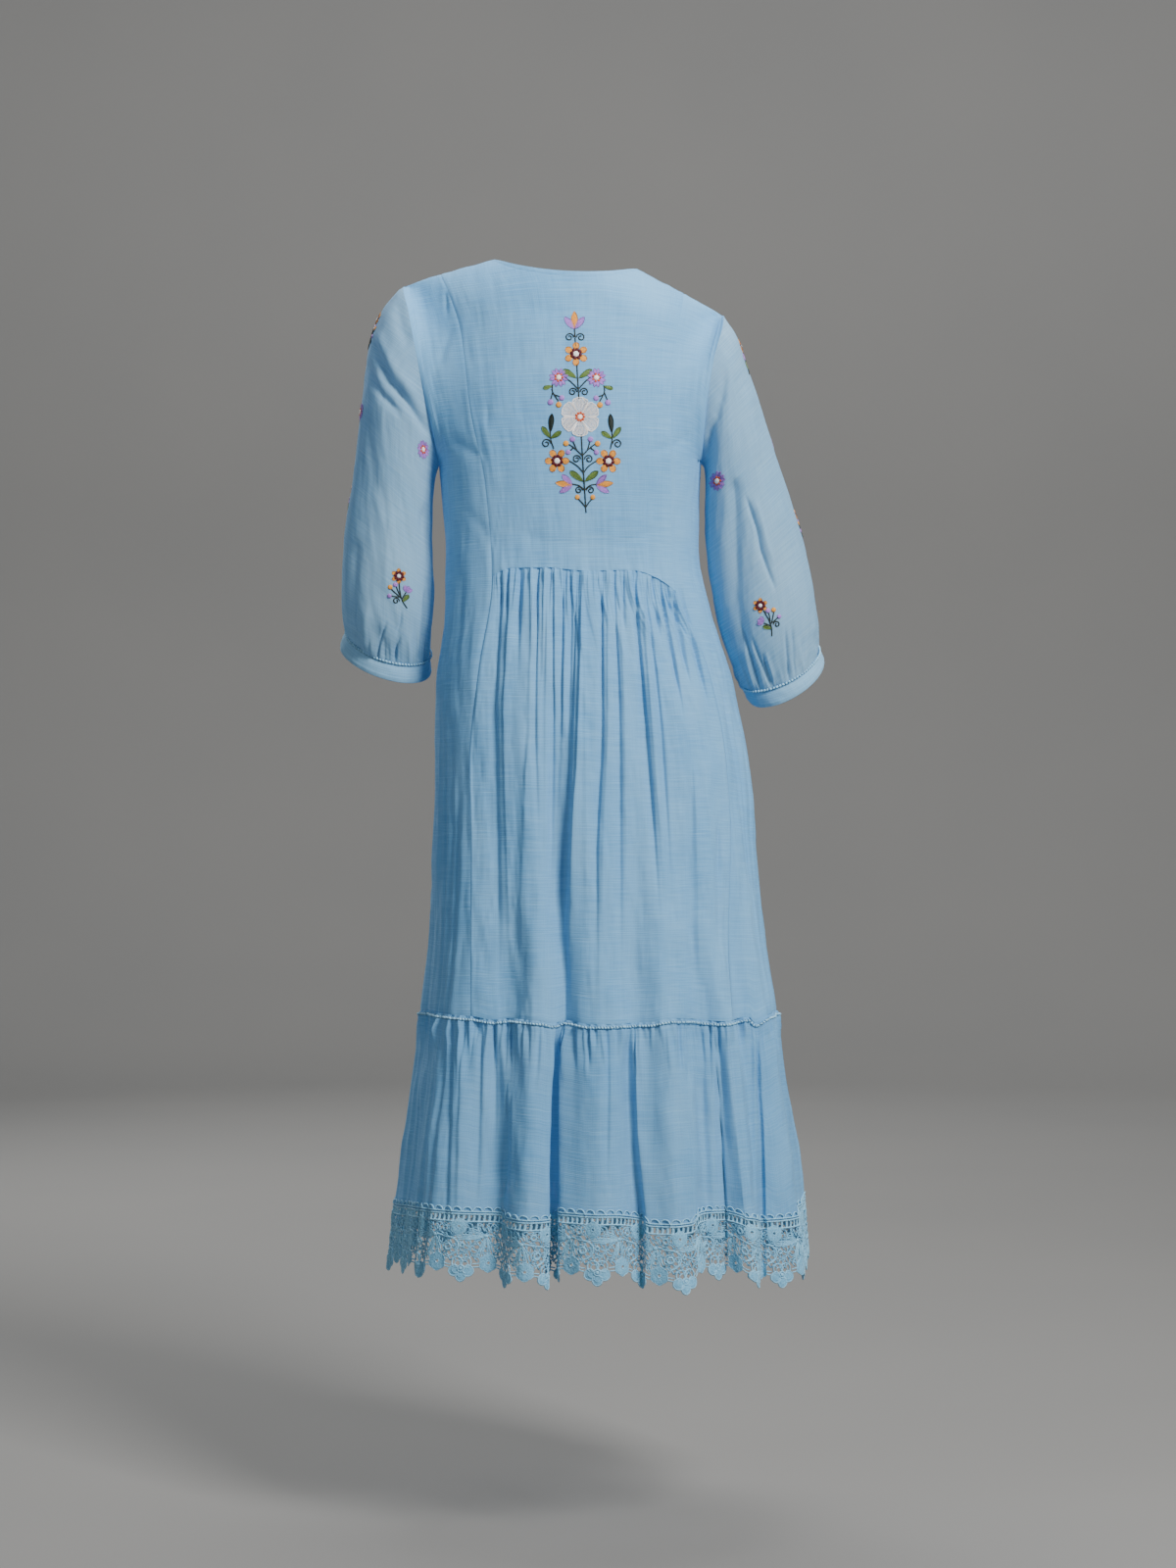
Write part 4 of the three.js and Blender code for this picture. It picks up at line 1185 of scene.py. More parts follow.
BRAID_THREAD = thread_material("braid thread", (164, 214, 238), (124, 180, 214), 700, 0.6, 0.08)
# The braid's edge cords are real threads, but in a darker copy of its thread: painted shade along the knots.
BRAID_SHADED_CORD = thread_material("braid cords painted shade", (96, 152, 192), (62, 114, 156), 700, 0.7, 0.1)
# The lace is one thread in a lit and a shaded copy: painted highlight on its cords, painted shade on its
# filled pads and net bars.
LACE_THREAD_LIT = thread_material("lace thread painted highlight", (150, 208, 234), (112, 172, 208), 800, 0.6, 0.12)
LACE_FILLING_SHADED = thread_material("lace filling painted shade", (122, 184, 216), (96, 156, 192), 800, 0.7, 0.08)

# ---------------------------------------------------------------- the picot braid

KNOT_PITCH = 3.9
KNOT = (1.75, 1.5, 1.4)  # half sizes along the braid, across it and off the cloth
KNOT_RINGS, KNOT_SIDES = 5, 8
EDGE_CORD, EDGE_HALF = 1.3, 0.55  # how far the cords lie from the braid's middle, and their radius


def build_braid(name, line, outwards, lift, seed):
    """A row of thread knots between two thin cords, along a closed line on the cloth."""
    threads = Threads()
    total = np.linalg.norm(np.diff(np.vstack([line, line[:1]]), axis=0), axis=1).sum()
    count = round(total / KNOT_PITCH)
    rng = np.random.default_rng(seed)
    index = np.arange(KNOT_RINGS * KNOT_SIDES).reshape(KNOT_RINGS, KNOT_SIDES)
    after, ends = np.roll(index, -1, 1), (index.size, index.size + 1)
    caps = [[ends[0], after[0, j], index[0, j], ends[0]] for j in range(KNOT_SIDES)]
    caps += [[ends[1], index[-1, j], after[-1, j], ends[1]] for j in range(KNOT_SIDES)]
    knot_faces = np.vstack([tube_faces(index), caps])
    for k in range(count):
        u, lean = (k + 0.5) * total / count, math.radians(rng.normal(24, 7))
        long, wide, tall = np.array(KNOT) * rng.uniform(0.9, 1.1)
        cosine, sine = math.cos(lean), math.sin(lean)
        places = []
        for polar_angle in np.linspace(0, math.pi, KNOT_RINGS + 2)[1:-1]:
            a = np.linspace(0, 2 * math.pi, KNOT_SIDES, endpoint=False)
            du, dv = long * math.cos(polar_angle) + 0 * a, wide * math.sin(polar_angle) * np.cos(a)
            up = lift + tall * math.sin(polar_angle) * np.sin(a)
            places += np.stack([u + du * cosine - dv * sine, du * sine + dv * cosine, up], axis=-1).tolist()
        places += [[u + s * long * cosine, s * long * sine, lift] for s in (1, -1)]
        threads.add(places, knot_faces)
    flat = np.linspace(0, total, round(total / 2.6), endpoint=False)[:, None]
    a = np.linspace(0, 2 * math.pi, 5, endpoint=False)
    for offset in (-EDGE_CORD, EDGE_CORD):
        across = offset + 0.25 * np.sin(flat * 2 * np.pi / KNOT_PITCH) + EDGE_HALF * np.cos(a)
        up = 0.7 * lift + EDGE_HALF * np.sin(a) + 0 * flat
        index = np.arange(across.size).reshape(across.shape)
        faces = tube_faces(np.vstack([index, index[:1]]))[:, ::-1]
        # the edge cords take the darker braid material: painted shade beside the knots
        threads.add(np.stack([flat + 0 * a, across, up], axis=-1), faces, 1)
    placed = along_line(np.concatenate(threads.points), line, outwards)
    return thread_piece(f"{name}_threads", threads, placed, [BRAID_THREAD, BRAID_SHADED_CORD], [name])


def along_line(flat, line, outwards):
    """Flat places (along, down, up) on a closed line of the cloth."""
    ring, normals = np.vstack([line, line[:1]]), np.vstack([outwards, outwards[:1]])
    runs = np.concatenate([[0], np.cumsum(np.linalg.norm(np.diff(ring, axis=0), axis=1))])
    at = flat[:, 0] % runs[-1]
    point = np.stack([np.interp(at, runs, ring[:, k]) for k in range(3)], axis=-1)
    normal = unit(np.stack([np.interp(at, runs, normals[:, k]) for k in range(3)], axis=-1))
    further = (at + 1.5) % runs[-1]
    ahead = np.stack([np.interp(further, runs, ring[:, k]) for k in range(3)], axis=-1)
    side = unit(np.cross(ahead - point, normal))
    side = np.where(side[:, 2:] > 0, -side, side)
    return point + side * flat[:, 1:2] + normal * flat[:, 2:3]


build_braid("tier_braid", tier_top, tier_outwards, 1.2, 91)
for side in SIDE:
    build_braid(f"cuff_braid_{side}", *cuff_tops[side], 1.6, 92 + SIDE[side])

# ---------------------------------------------------------------- the lace border

LACE_REPEATS = 28  # half of them behind
LACE_REPEAT = 48.5  # the width that one repeat is laid out in
DRAWN_OUT = 1.257  # how much wider a repeat lies along the hem's folds


def kept_round(t, u, draw, *details, **settings):
    """Draws a motif about u that stays round where its repeat is drawn out."""
    first = len(t.points)
    draw(*details, **settings)
    for points in t.points[first:]:
        points[:, 0] = u + (points[:, 0] - u) / DRAWN_OUT


def lace_flower(t, u, v, radius, petals, start, hole=1.7):
    """Filled and rimmed petals about a ring."""
    for k in range(petals):
        turn = start + 360 * k / petals
        width = 2.05 * radius * math.sin(math.pi / petals)
        outline = petal_outline(*polar(u, v, hole, turn), turn, radius - hole, width, 14, 0.55, 0.5)
        # the filled pad takes the darker lace material: painted shade
        t.pad(outline, 0.75, 1)
        t.cord(outline, 0.6, 1.15, step=1.8, closed=True)
    t.cord(circle(u, v, hole + 0.6, 12), 0.7, 1.4, closed=True, step=1.3)


def deep_scallop(t, u, v, radius):
    """Five petals about a raised ring, each rimmed twice, the two upper ones open and the rest filled."""
    heart = 2.8
    for k in range(5):
        turn = 90 + 72 * k
        wide = 12.6 if k else 11
        for size, half in ((1, 1.05), (0.62, 0.6)):
            length = (radius - heart) * size
            outline = petal_outline(*polar(u, v, heart, turn), turn, length, wide * size, 14, 0.45, 0.6)
            t.cord(outline, half, 1.4, closed=True, step=1.6)
            if size == 1 and k not in (2, 3):
                # the filled pad takes the darker lace material: painted shade
                t.pad(outline, 0.7, 1)
    t.cord(circle(u, v, 3.6, 12), 1.2, 1.9, closed=True, step=1.4)
    t.pad(circle(u, v, 2.4, 10), 1.8)


def lace_fan(threads, start, ends, half=0.75):
    """Thread lines that spread from one place, each a curve through (bend, end)."""
    for bend, end in ends:
        threads.cord(rounded([start, bend, end]), half, 1.1, step=1.7, taper=True)


def lace_repeat():
    """One repeat of the border, laid out flat: across, down from the tops of its arches, and up."""
    t = Threads()
    width = LACE_REPEAT
    # the heading: small arches on a double cord, and a ladder of oval holes
    for k in range(5):
        t.cord(arc((k + 0.5) * width / 5, 6.2, 4.3, 180, 360, 1.15, 10), 0.8, 1.2)
    for v, half in ((6.6, 1.0), (9.4, 1.1)):
        t.cord([(0, v), (width, v)], half, 1.3, step=2.4)
    for k in range(10):
        u = (k + 0.35) * width / 10
        t.cord([(u, 9.6), (u + 0.4, 13), (u - 0.2, 17.6)], 1.5, 0.9, step=2.4)
    wavy = [(u, 17.8 + 0.5 * math.sin(u * 20 * math.pi / width)) for u in np.linspace(0, width, 21)]
    t.cord(wavy, 1.1, 1.0, step=1.8)
    # the round flower under the heading, and the ring beside it inside its own arc
    kept_round(t, 8, lace_flower, t, 8, 23.6, 9.6, 6, 30)
    kept_round(t, 43.6, t.cord, circle(43.6, 26.0, 3.1, 12), 1.25, 1.4, closed=True, step=1.5)
    t.cord(arc(43.6, 26.2, 6.3, 90, 290, 1.0, 12), 0.65, 1.0)
    for turn in (110, 180, 250, 330, 40):
        t.cord([polar(43.6, 26, 4.2, turn), polar(43.6, 26.2, 6.9, turn)], 0.5, 0.8)
    for u, v in ((20, 24), (25, 22.5), (29.5, 22), (34, 22)):
        t.cord([(u, 20), (u + 0.8, v + 3), (u + 2.5, v + 6.5)], 0.75, 0.8)
    # two leaves that sweep left from a knot, and two that hang from it
    knot = (33.6, 34.0)
    lace_fan(t, knot, [((27, 28), (18.5, 25.5)), ((26, 30), (17, 27.6)), ((26, 31.6), (18, 29.6))])
    lace_fan(t, knot, [
        ((24, 33.4), (9, 32.4)), ((22, 35), (5.5, 34.2)), ((21, 36.6), (4.5, 36.4)), ((24, 38), (8, 38.2)),
    ], 0.95)
    lace_fan(t, knot, [
        ((29.5, 44), (26, 57.5)), ((31, 45), (28.2, 58)), ((32.2, 46), (30.4, 57)), ((33, 44), (32, 52)),
    ], 0.85)
    lace_fan(t, knot, [((36, 44), (36, 54)), ((37.2, 45), (38.4, 56)), ((38.4, 42), (40.6, 54))], 0.8)
    t.pad(circle(*knot, 2.2, 10), 1.6)
    # the big arc that winds round a spiral ring
    t.cord(rounded([knot, (38, 33), (44, 36), (51, 36), (57, 41), (57.6, 48), (54, 55), (48, 58)]), 1.0, 1.4)
    kept_round(t, 47.6, t.cord, circle(47.6, 47.0, 3.7, 14), 1.5, 1.5, closed=True, step=1.5)
    t.cord(rounded([(47.6, 50.8), (43, 52), (41.6, 46), (44, 41.5), (49, 41)]), 0.7, 1.1)
    for turn in (-75, -30, 15, 60, 105):
        t.cord([polar(47.6, 47, 4.6, turn), polar(47.8, 46.6, 9.6, turn)], 0.6, 0.8)
    for u, v in ((38.6, 36.5), (41.5, 39)):
        t.cord([(u, v - 2), (u - 0.5, v + 3), (u - 2, v + 7)], 0.6, 0.8)
    # a small ring in a net of bars
    kept_round(t, 12.1, t.cord, circle(12.1, 44.6, 2.3, 12), 1.05, 1.3, closed=True, step=1.3)
    net = [
        [(12.1, 38.4), (12.1, 41.6)], [(9.2, 45.2), (6, 47.5), (6.2, 53)], [(15, 45), (19.6, 47.6)],
        [knot, (25.4, 40.6), (19.8, 47.6), (13.8, 57.6)], [(25.4, 40.6), (29.4, 47)],
        [(19.8, 47.6), (27.6, 53)], [(19.4, 38), (19.8, 47.6)], [(12.4, 47.6), (11.4, 52), (16.8, 52.4)],
        [(11.4, 52), (5.4, 53), (0.5, 57)], [(11.4, 52), (9.2, 58.4)], [(22, 52), (20.6, 58)],
        [(24.5, 54.5), (24.8, 60.5)], [(5.6, 38.2), (8.4, 42.6)], [(26.4, 57), (30, 62)],
        [(38.6, 55.5), (38.6, 58)], [(0.5, 57), (-1.6, 60.6)], [(43.5, 54.5), (46.5, 58)],
    ]
    for line in net:
        t.cord(rounded(line, 1), 0.65, 0.85, step=1.9)
    # the deep and the round scallop, and the bars that hold the two together
    kept_round(t, 12.6, deep_scallop, t, 12.6, 71.0, 15.0)
    kept_round(t, 37.2, lace_flower, t, 37.2, 64.4, 10.8, 6, 90, 1.9)
    bars = [(23, 66), (29.5, 65)], [(24, 69.5), (29.5, 69)], [(45, 66), (50.5, 67)], [(44.5, 69), (50, 70.5)]
    for line in bars:
        t.cord(line, 0.8, 0.9)
    return t


def lace_net(threads):
    """The net of thin bars that fills the border between its motifs, with cells of uneven size."""
    rng = np.random.default_rng(97)
    count, rows = 10, 10
    pitch = LACE_REPEAT / count
    j, i = np.mgrid[:rows, :count]
    crossings = np.stack([(i + 0.5 * (j % 2)) * pitch, 20 + j * 4.8], axis=-1)
    crossings += rng.uniform(-1.0, 1.0, crossings.shape)

    def crossing(j, i):
        return crossings[j, i % count] + [LACE_REPEAT * (i // count), 0]

    for j in range(rows - 1):
        for i in range(count):
            below = i + j % 2
            if (i + j) % 2:
                threads.bar(crossing(j, i), crossing(j, i + 1), 0.8)
            threads.bar(crossing(j, i), crossing(j + 1, below), 0.8)
            if (i + j) % 3 == 0:
                threads.bar(crossing(j, i), crossing(j + 1, below - 1), 0.7)


def build_lace():
    """The border in two halves, each of its repeats laid out flat and then on the tier's own surface."""
    columns, lift = 640, 1.0
    levels = np.linspace(LACE_SEAM + 1, HEM - 1, 30)
    halves = [tier_grid(face, columns, levels) for face in (BACK, FRONT)]
    points = np.concatenate([halves[0][0], halves[1][0][:, -2::-1]], axis=1)
    normals = np.concatenate([halves[0][1], halves[1][1][:, -2::-1]], axis=1)
    runs = run_lengths(points, 1)[len(levels) // 2]
    repeat = lace_repeat()
    lace_net(repeat)
    flat, faces = np.concatenate(repeat.points), np.concatenate(repeat.faces)
    shades = np.concatenate(repeat.shades)
    stretch = runs[-1] / (LACE_REPEATS * LACE_REPEAT)
    for name, first in (("lace_border_behind", 0), ("lace_border_ahead", LACE_REPEATS // 2)):
        whole = Threads()
        for k in range(first, first + LACE_REPEATS // 2):
            whole.add((flat + [k * LACE_REPEAT, 0, 0]) * [stretch, 1, 1], faces, shades)
        u, v, up = np.concatenate(whole.points).T
        column = np.interp(u % runs[-1], runs, np.arange(len(runs)))
        last = len(levels) - 1
        row = np.clip((v + 1) / (levels[0] - levels[-1]) * last, 0, last - 0.001)
        i, j = np.floor(row).astype(int), np.minimum(np.floor(column).astype(int), points.shape[1] - 2)
        s, t = (row - i)[:, None], (column - j)[:, None]

        def sampled(grid):
            return lerp(lerp(grid[i, j], grid[i, j + 1], t), lerp(grid[i + 1, j], grid[i + 1, j + 1], t), s)

        placed = sampled(points) + unit(sampled(normals)) * (up[:, None] + lift)
        nodes = ["lace_border"] if first == 0 else []
        thread_piece(name, whole, placed, [LACE_THREAD_LIT, LACE_FILLING_SHADED], nodes)


build_lace()

# ---------------------------------------------------------------- the embroidery

ORANGE, PURPLE, MAROON, CREAM, RUST, GREEN, PINE = range(7)
SILKS = [
    thread_material(f"{name} silk", light, dark, 1200, rough, sheen)
    for name, light, dark, rough, sheen in (
        ("orange", (238, 168, 66), (206, 130, 36), 0.5, 0.12),
        ("purple", (180, 132, 218), (138, 92, 184), 0.45, 0.3),
        ("maroon", (92, 2, 28), (56, 0, 12), 0.6, 0.02),
        ("cream", (255, 252, 250), (232, 227, 226), 0.45, 0.4),
        ("rust", (222, 92, 28), (180, 60, 12), 0.5, 0.08),
        ("green", (116, 146, 66), (68, 94, 38), 0.45, 0.3),
        ("pine", (24, 44, 36), (8, 20, 18), 0.5, 0.15),
    )
]
STITCH = 0.9  # the pitch of the threads in satin stitch


def satin(t, u, v, turn, length, width, shade, sharp=0.6, blunt=0.5, slant=0.3):
    """A petal or leaf in satin stitch: a low pad under threads laid across it."""
    t.pad(petal_outline(u, v, turn, length, width * 0.94, 12, sharp, blunt), 0.55, shade)
    ahead = polar(0, 0, 1, turn)
    beside = np.array([-ahead[1], ahead[0]])
    count = max(4, round(length / STITCH))
    for k in range(count):
        share = (k + 0.5) / count
        half = width / 2 * math.sin(math.pi * share ** (1 - 0.35 * blunt)) ** sharp
        middle = np.array([u, v]) + ahead * share * length
        ends = [middle + beside * half * w + ahead * slant * half * abs(w) for w in (-1, 0, 1)]
        t.cord(ends, STITCH * 0.5, 0.85, shade, step=2.4)


def stem(t, line, half=0.85):
    t.cord(rounded(line, 2), half, 1.0, PINE, step=2.0)


def curl(t, u, v, radius, way, turns=1.35):
    """A tendril that winds in from the stem; way is -1 to wind on the stem's left and 1 on its right."""
    share = np.linspace(0, 1, 22)
    a = math.pi / 2 + way * (math.pi / 2 + share * turns * 2 * math.pi)
    reach = radius * (1 - 0.72 * share)
    t.cord(np.stack([u + reach * np.cos(a), v + reach * np.sin(a)], -1), 0.85, 1.0, PINE, step=1.3)


def berry(t, u, v, radius, shade):
    t.pad(circle(u, v, radius, 12), 1.1, shade, 0.12)


def knots(t, u, v, reach, radius, count, height, shade, first=0.0):
    """A ring of round knots."""
    for k in range(count):
        t.pad(circle(*polar(u, v, reach, 360 * (k + first) / count), radius, 8), height, shade)


def round_flower(t, u, v, radius, start=90, core=1.0):
    """Six round orange petals about a ring of maroon knots, which core widens, and a cream heart."""
    inner = radius * 0.36
    for k in range(6):
        turn = start + 60 * k
        satin(t, *polar(u, v, inner, turn), turn, radius - inner, radius * 0.56, ORANGE, 0.5, 0.7)
    knots(t, u, v, inner * core, radius * 0.175 * core, 8, 1.3, MAROON, 0.3)
    t.pad(circle(u, v, radius * 0.28, 10), 1.5, CREAM, 0.15)


def notched_flower(t, u, v, radius, start):
    """Six notched purple petals about a rust ring and a cream heart."""
    inner = radius * 0.34
    for k in range(6):
        for half in (-1, 1):
            turn = start + 60 * k + 13 * half
            satin(t, *polar(u, v, inner, turn), turn, radius - inner, radius * 0.36, PURPLE, 0.6, 0.4)
    knots(t, u, v, radius * 0.38, radius * 0.14, 7, 1.2, RUST)
    t.pad(circle(u, v, radius * 0.3, 10), 1.5, CREAM, 0.15)


def wedge_flower(t, u, v, radius):
    """The large cream flower: six wide wedges with blunt ends, each an outline about rows of zigzag."""
    inner, wide = radius * 0.2, radius * 0.84
    shares = np.linspace(0, 1, 8)
    blunt = np.sqrt(1 - np.clip((shares - 0.62) / 0.38, 0, 0.97) ** 3)
    width = wide / 2 * np.minimum(1, 0.3 + 0.95 * shares) * blunt
    rows = round((radius - inner) / 1.5)
    for k in range(6):
        spine = polar(0, 0, 1, 30 + 60 * k)
        beside = np.array([-spine[1], spine[0]])

        def place(share, across):
            return np.array([u, v]) + spine * (inner + share * (radius - inner)) + beside * across

        left = [place(share, across) for share, across in zip(shares, width)]
        right = [place(share, -across) for share, across in zip(shares, width)]
        t.cord(left + right[::-1], 0.6, 0.9, CREAM, step=2.2, closed=True)
        for row in range(rows):
            share = (row + 0.5) / rows
            half = np.interp(share, shares, width)
            turns = enumerate(np.linspace(-half, half, 9))
            zigzag = [place(share, across) + spine * 0.8 * (-1) ** n for n, across in turns]
            t.cord(zigzag, 0.5, 0.8, CREAM, step=1.6)
    knots(t, u, v, radius * 0.2, radius * 0.075, 9, 1.3, RUST)
    t.pad(circle(u, v, radius * 0.15, 10), 1.2, CREAM, 0.15)


def bud(t, u, v, turn, size):
    """An opening bud: an orange middle petal between two purple ones."""
    for half in (-1, 1):
        satin(t, u, v, turn + 38 * half, size * 0.86, size * 0.34, PURPLE, 0.7, 0.2)
    satin(t, u, v, turn, size, size * 0.36, ORANGE, 0.75, 0.2)


def leaf(t, u, v, turn, length, width, shade=GREEN):
    satin(t, u, v, turn, length, width, shade, 0.85, 0.1, 0.9)
    t.cord([(u, v), polar(u, v, 0.85 * length, turn)], 0.35, 1.05, shade, step=3)


# The spray's two sides, alike: places are (out from its stem, down from its top).
SPRAY_STEMS = [
    [(30, 90), (31, 97), (27, 104), (24, 109)], [(30, 98), (33, 107)], [(29, 101), (21, 104)],
    [(36, 144), (36, 154), (33, 164)], [(0, 172), (9, 163), (15, 159)], [(6, 166), (10, 155)],
    [(10, 163), (15, 167)], [(0, 192), (6, 184), (16, 178)], [(0, 212), (6, 206), (14, 205)],
    [(0, 232), (4, 226), (8, 222)],
]
# place, radius
SPRAY_CURLS = [((6.6, 33), 5.2), ((6.8, 98), 5.0), ((41.5, 158), 5.6), ((7.2, 176), 5.0), ((6.8, 212), 4.6)]
# place, turn out from straight up, length, width, silk
SPRAY_LEAVES = [
    ((1.0, 82), 56, 19, 6.6, GREEN), ((30, 91), 104, 11, 5.0, GREEN), ((36, 146), -5, 23, 6.4, PINE),
    ((36, 152), 36, 17, 6.0, GREEN), ((36, 152), -58, 15, 6.0, GREEN), ((0.8, 202), 52, 20, 7.2, GREEN),
]
# place, radius, silk
SPRAY_BERRIES = [
    ((33.5, 110), 3.6, PURPLE), ((20, 105), 3.4, PURPLE), ((24, 113), 3.6, ORANGE),
    ((10.5, 153), 3.4, PURPLE), ((18.5, 158), 3.5, ORANGE), ((16.5, 168), 3.2, PURPLE),
    ((9, 220), 3.1, ORANGE),
]


def flower_tree(t, top, tall, axis):
    """The spray down the middle of the back, alike on both sides of its stem but for the stem's lean. Axis
    gives the stem's place across at each height down."""
    at = lambda across, down: (axis(down) + across, top + down)
    for heights in ((22, 34, 44), (66, 84, 106), (148, 180, 210, tall)):
        stem(t, [at(0, down) for down in heights])
    bud(t, *at(0, 23), -90, 22)
    round_flower(t, *at(0, 53), 14)
    wedge_flower(t, *at(0, 127), 22.5)
    for way in (-1, 1):
        beside = lambda out, down: at(out * way, down)
        stem(t, [beside(*place) for place in ((0, 95), (8, 86), (15, 81))])
        for line in SPRAY_STEMS:
            stem(t, [beside(*place) for place in line], 0.8)
        for place, radius in SPRAY_CURLS:
            curl(t, *beside(*place), radius, way)
        for place, turn, length, width, silk in SPRAY_LEAVES:
            leaf(t, *beside(*place), -90 + turn * way, length, width, silk)
        for place, radius, silk in SPRAY_BERRIES:
            berry(t, *beside(*place), radius, silk)
        notched_flower(t, *beside(22, 81), 11.2, 75 + 15 * way)
        round_flower(t, *beside(30, 178), 14, 0)
        bud(t, *beside(14, 206), -90 + 82 * way, 20)


def sprig(t, u, v, way, size=1.0, tilt=0.0):
    """A small sprig of the sleeves, with its flower at the top. Way is the side that its stem leans to, and
    tilt turns it about its flower, in degrees, with its foot towards +u."""
    c, s = math.cos(math.radians(tilt)) * size, math.sin(math.radians(tilt)) * size
    at = lambda across, down: (u + across * way * c + down * s, v - across * way * s + down * c)
    for line in (
        [(0, 7), (1, 18), (3, 28), (9, 37)], [(2, 25), (-4, 20), (-9, 15)], [(1, 22), (-2, 16), (-3, 12)],
        [(2, 24), (-5, 24), (-9, 23)], [(3, 27), (6, 22), (8, 19)],
    ):
        stem(t, [at(*place) for place in line], 0.8)
    round_flower(t, *at(0, 0), 8.6 * size, 30, 1.4)
    for place, radius, silk in (((-10, 13), 2.9, ORANGE), ((-4, 10), 2.9, PURPLE), ((-11, 23), 2.7, PURPLE)):
        berry(t, *at(*place), radius * size, silk)
    for turn in (-60, -100, -20):
        satin(t, *at(8, 18), -90 + (turn + 90) * way - tilt, 7.2 * size, 5 * size, PURPLE, 0.5, 0.5)
    leaf(t, *at(4, 30), -90 + 40 * way - tilt, 11 * size, 5 * size)
    curl(t, *at(-3.4, 29), 4.0 * size, -way, 1.2)


def onto(piece, direction):
    """Turns flat places (x, down, up off the cloth) into places on the cloth, looking along a direction."""
    mesh = piece.data
    corners, faces = [v.co for v in mesh.vertices], [list(p.vertices) for p in mesh.polygons]
    tree = BVHTree.FromPolygons(corners, faces)
    look = Vector(direction)

    def placed(threads, origin_of):
        out = []
        for u, v, up in np.concatenate(threads.points):
            place, normal, _, _ = tree.ray_cast(Vector(origin_of(u, v)), look)
            if place is None:
                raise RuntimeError("a stitch misses the cloth")
            normal = -normal if normal.dot(look) > 0 else normal
            out.append((place + normal * (up + 0.2) * MM) / MM)
        return np.array(out)

    return placed


# What is sewn on each sleeve. Behind: the sprig's (u, v, way, size, tilt), and a flower's radius, turn, place
# and how far it is squeezed, because it lies where the sleeve turns away. Outside, with u towards the back:
# the heights of two sprigs, and a flower's place.
SLEEVE_MOTIFS = {
    "left": ((-198, 379, 1, 1.02, 0), (11, 80, (-169, 229), 0.6), (68, 270), (-14, 180)),
    "right": ((232, 414, -1, 1.02, 35), (11.5, 100, (181, 266), 0.78), (100, 300), (12, 214)),
}


def build_embroidery():
    from_behind = lambda u, v: (u * MM, -0.6, -v * MM)
    spray = Threads()
    top, tall = 71, 238
    flower_tree(spray, top, tall, lambda down: 9.8 + 14.9 * down / tall)
    thread_piece("embroidery_back", spray, onto(body["back_bodice"], (0, 1, 0))(spray, from_behind), SILKS)

    for side, sign in SIDE.items():
        sprig_behind, (radius, turn, place, squeeze), sprig_heights, outer_flower = SLEEVE_MOTIFS[side]
        seen, flower, beside = Threads(), Threads(), Threads()
        sprig(seen, *sprig_behind)
        notched_flower(flower, 0, 0, radius, turn)
        at = np.concatenate(flower.points) * [squeeze, 1, 1] + [*place, 0]
        seen.add(at, np.concatenate(flower.faces), np.concatenate(flower.shades))
        on_sleeve = onto(sleeves[side], (0, 1, 0))(seen, from_behind)
        thread_piece(f"embroidery_{side}_sleeve_behind", seen, on_sleeve, SILKS)

        sprig(beside, -8, sprig_heights[0], -sign, 0.95)
        sprig(beside, 16, sprig_heights[1], sign, 0.9)
        notched_flower(beside, *outer_flower, 10, 90)
        on_sleeve = onto(sleeves[side], (-sign, 0, 0))(beside, lambda u, v: (sign * 0.6, u * MM, -v * MM))
        thread_piece(f"embroidery_{side}_sleeve_outside", beside, on_sleeve, SILKS)


build_embroidery()

# ---------------------------------------------------------------- stage, light and camera

FLOOR = -1510


def paper():
    n = Nodes("paper")
    place = n.add("ShaderNodeTexCoord").outputs["Object"]
    light, dark = colour(132, 131, 129), colour(126, 126, 125)
    n.feed(n.shader.inputs["Base Color"], n.mix(n.noise(place, (1.3, 1.3, 1.3), 2.0), dark, light))
    n.uniform({"Roughness": 0.9, "Specular IOR Level": 0.1})
    return n.material


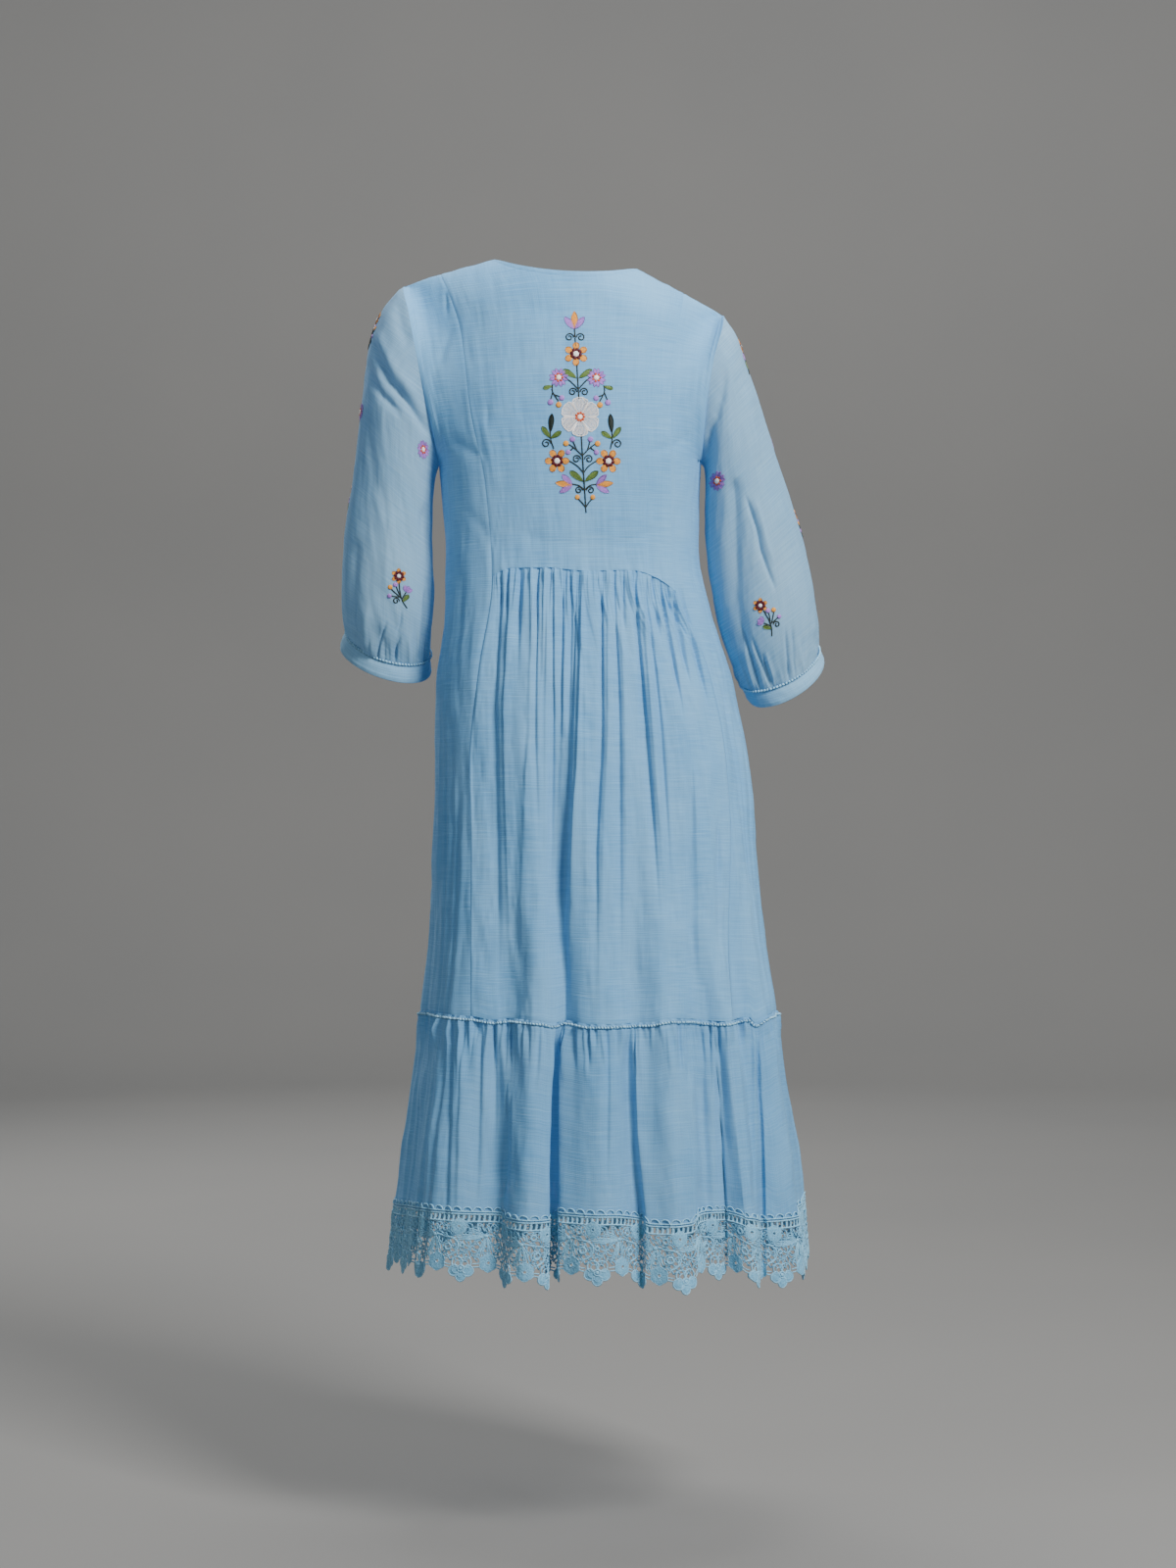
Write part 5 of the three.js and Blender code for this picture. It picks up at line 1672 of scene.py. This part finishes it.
def build_stage():
    """A round floor that turns up into a backdrop on a wide curve."""
    inner, bend, tall, around = 5200, 1900, 2400, 96
    profile = [(0, 0), (inner / 2, 0), (inner, 0)]
    for k in range(1, 13):
        a = math.pi / 2 * k / 12
        profile.append((inner + bend * math.sin(a), bend * (1 - math.cos(a))))
    profile.append((inner + bend, bend + tall))
    turns = np.linspace(0, 2 * np.pi, around, endpoint=False)
    points = np.array([[(r * np.cos(t), r * np.sin(t), FLOOR + z) for t in turns] for r, z in profile])
    index = np.arange(len(profile) * around).reshape(-1, around)
    floor = meshed("stage", points, tube_faces(index).tolist(), [paper()])


# name, place, target, size, watts, tint
LAMPS = [
    ("key", (1.95, -2.5, 1.7), (0.04, 0, -0.4), (1.1, 1.4), 245, (1.0, 0.985, 0.96)),
    ("fill", (-2.4, -1.9, 0.9), (0.04, 0, -0.3), (1.0, 1.4), 14, (0.95, 0.98, 1.0)),
    ("top", (0.2, 0.6, 1.5), (0.04, 0.1, -0.8), (1.6, 1.4), 40, (1.0, 1.0, 1.0)),
    ("backdrop", (0.3, 3.4, 2.4), (0.1, 7.0, -0.4), (4.0, 1.2), 130, (1.0, 1.0, 1.0)),
    ("front", (-1.7, 3.2, 1.2), (0.04, 0, -0.5), (1.4, 1.8), 60, (1.0, 0.99, 0.97)),
]


def build_light():
    for name, place, target, size, watts, tint in LAMPS:
        data = bpy.data.lights.new(name, "AREA")
        data.shape = "RECTANGLE"
        data.size, data.size_y = size
        data.energy, data.color = watts, tint
        lamp = linked(name, data)
        lamp.location = place
        lamp.rotation_euler = (Vector(target) - Vector(place)).to_track_quat("-Z", "Y").to_euler()
        lamp.visible_camera = False
    world = bpy.data.worlds.new("studio")
    world.use_nodes = True
    world.node_tree.nodes["Background"].inputs["Color"].default_value = (0.9, 0.95, 1.0, 1)
    world.node_tree.nodes["Background"].inputs["Strength"].default_value = 0.3
    bpy.context.scene.world = world


def build_camera():
    data = bpy.data.cameras.new("camera")
    data.lens, data.sensor_width = 66.7, 36
    data.shift_y = 0.003
    data.clip_end = 50
    camera = linked("camera", data)
    camera.location = (0.027, -3.5, -0.632)
    camera.rotation_euler = (math.pi / 2, 0, 0)
    bpy.context.scene.camera = camera


build_stage()
build_light()
build_camera()
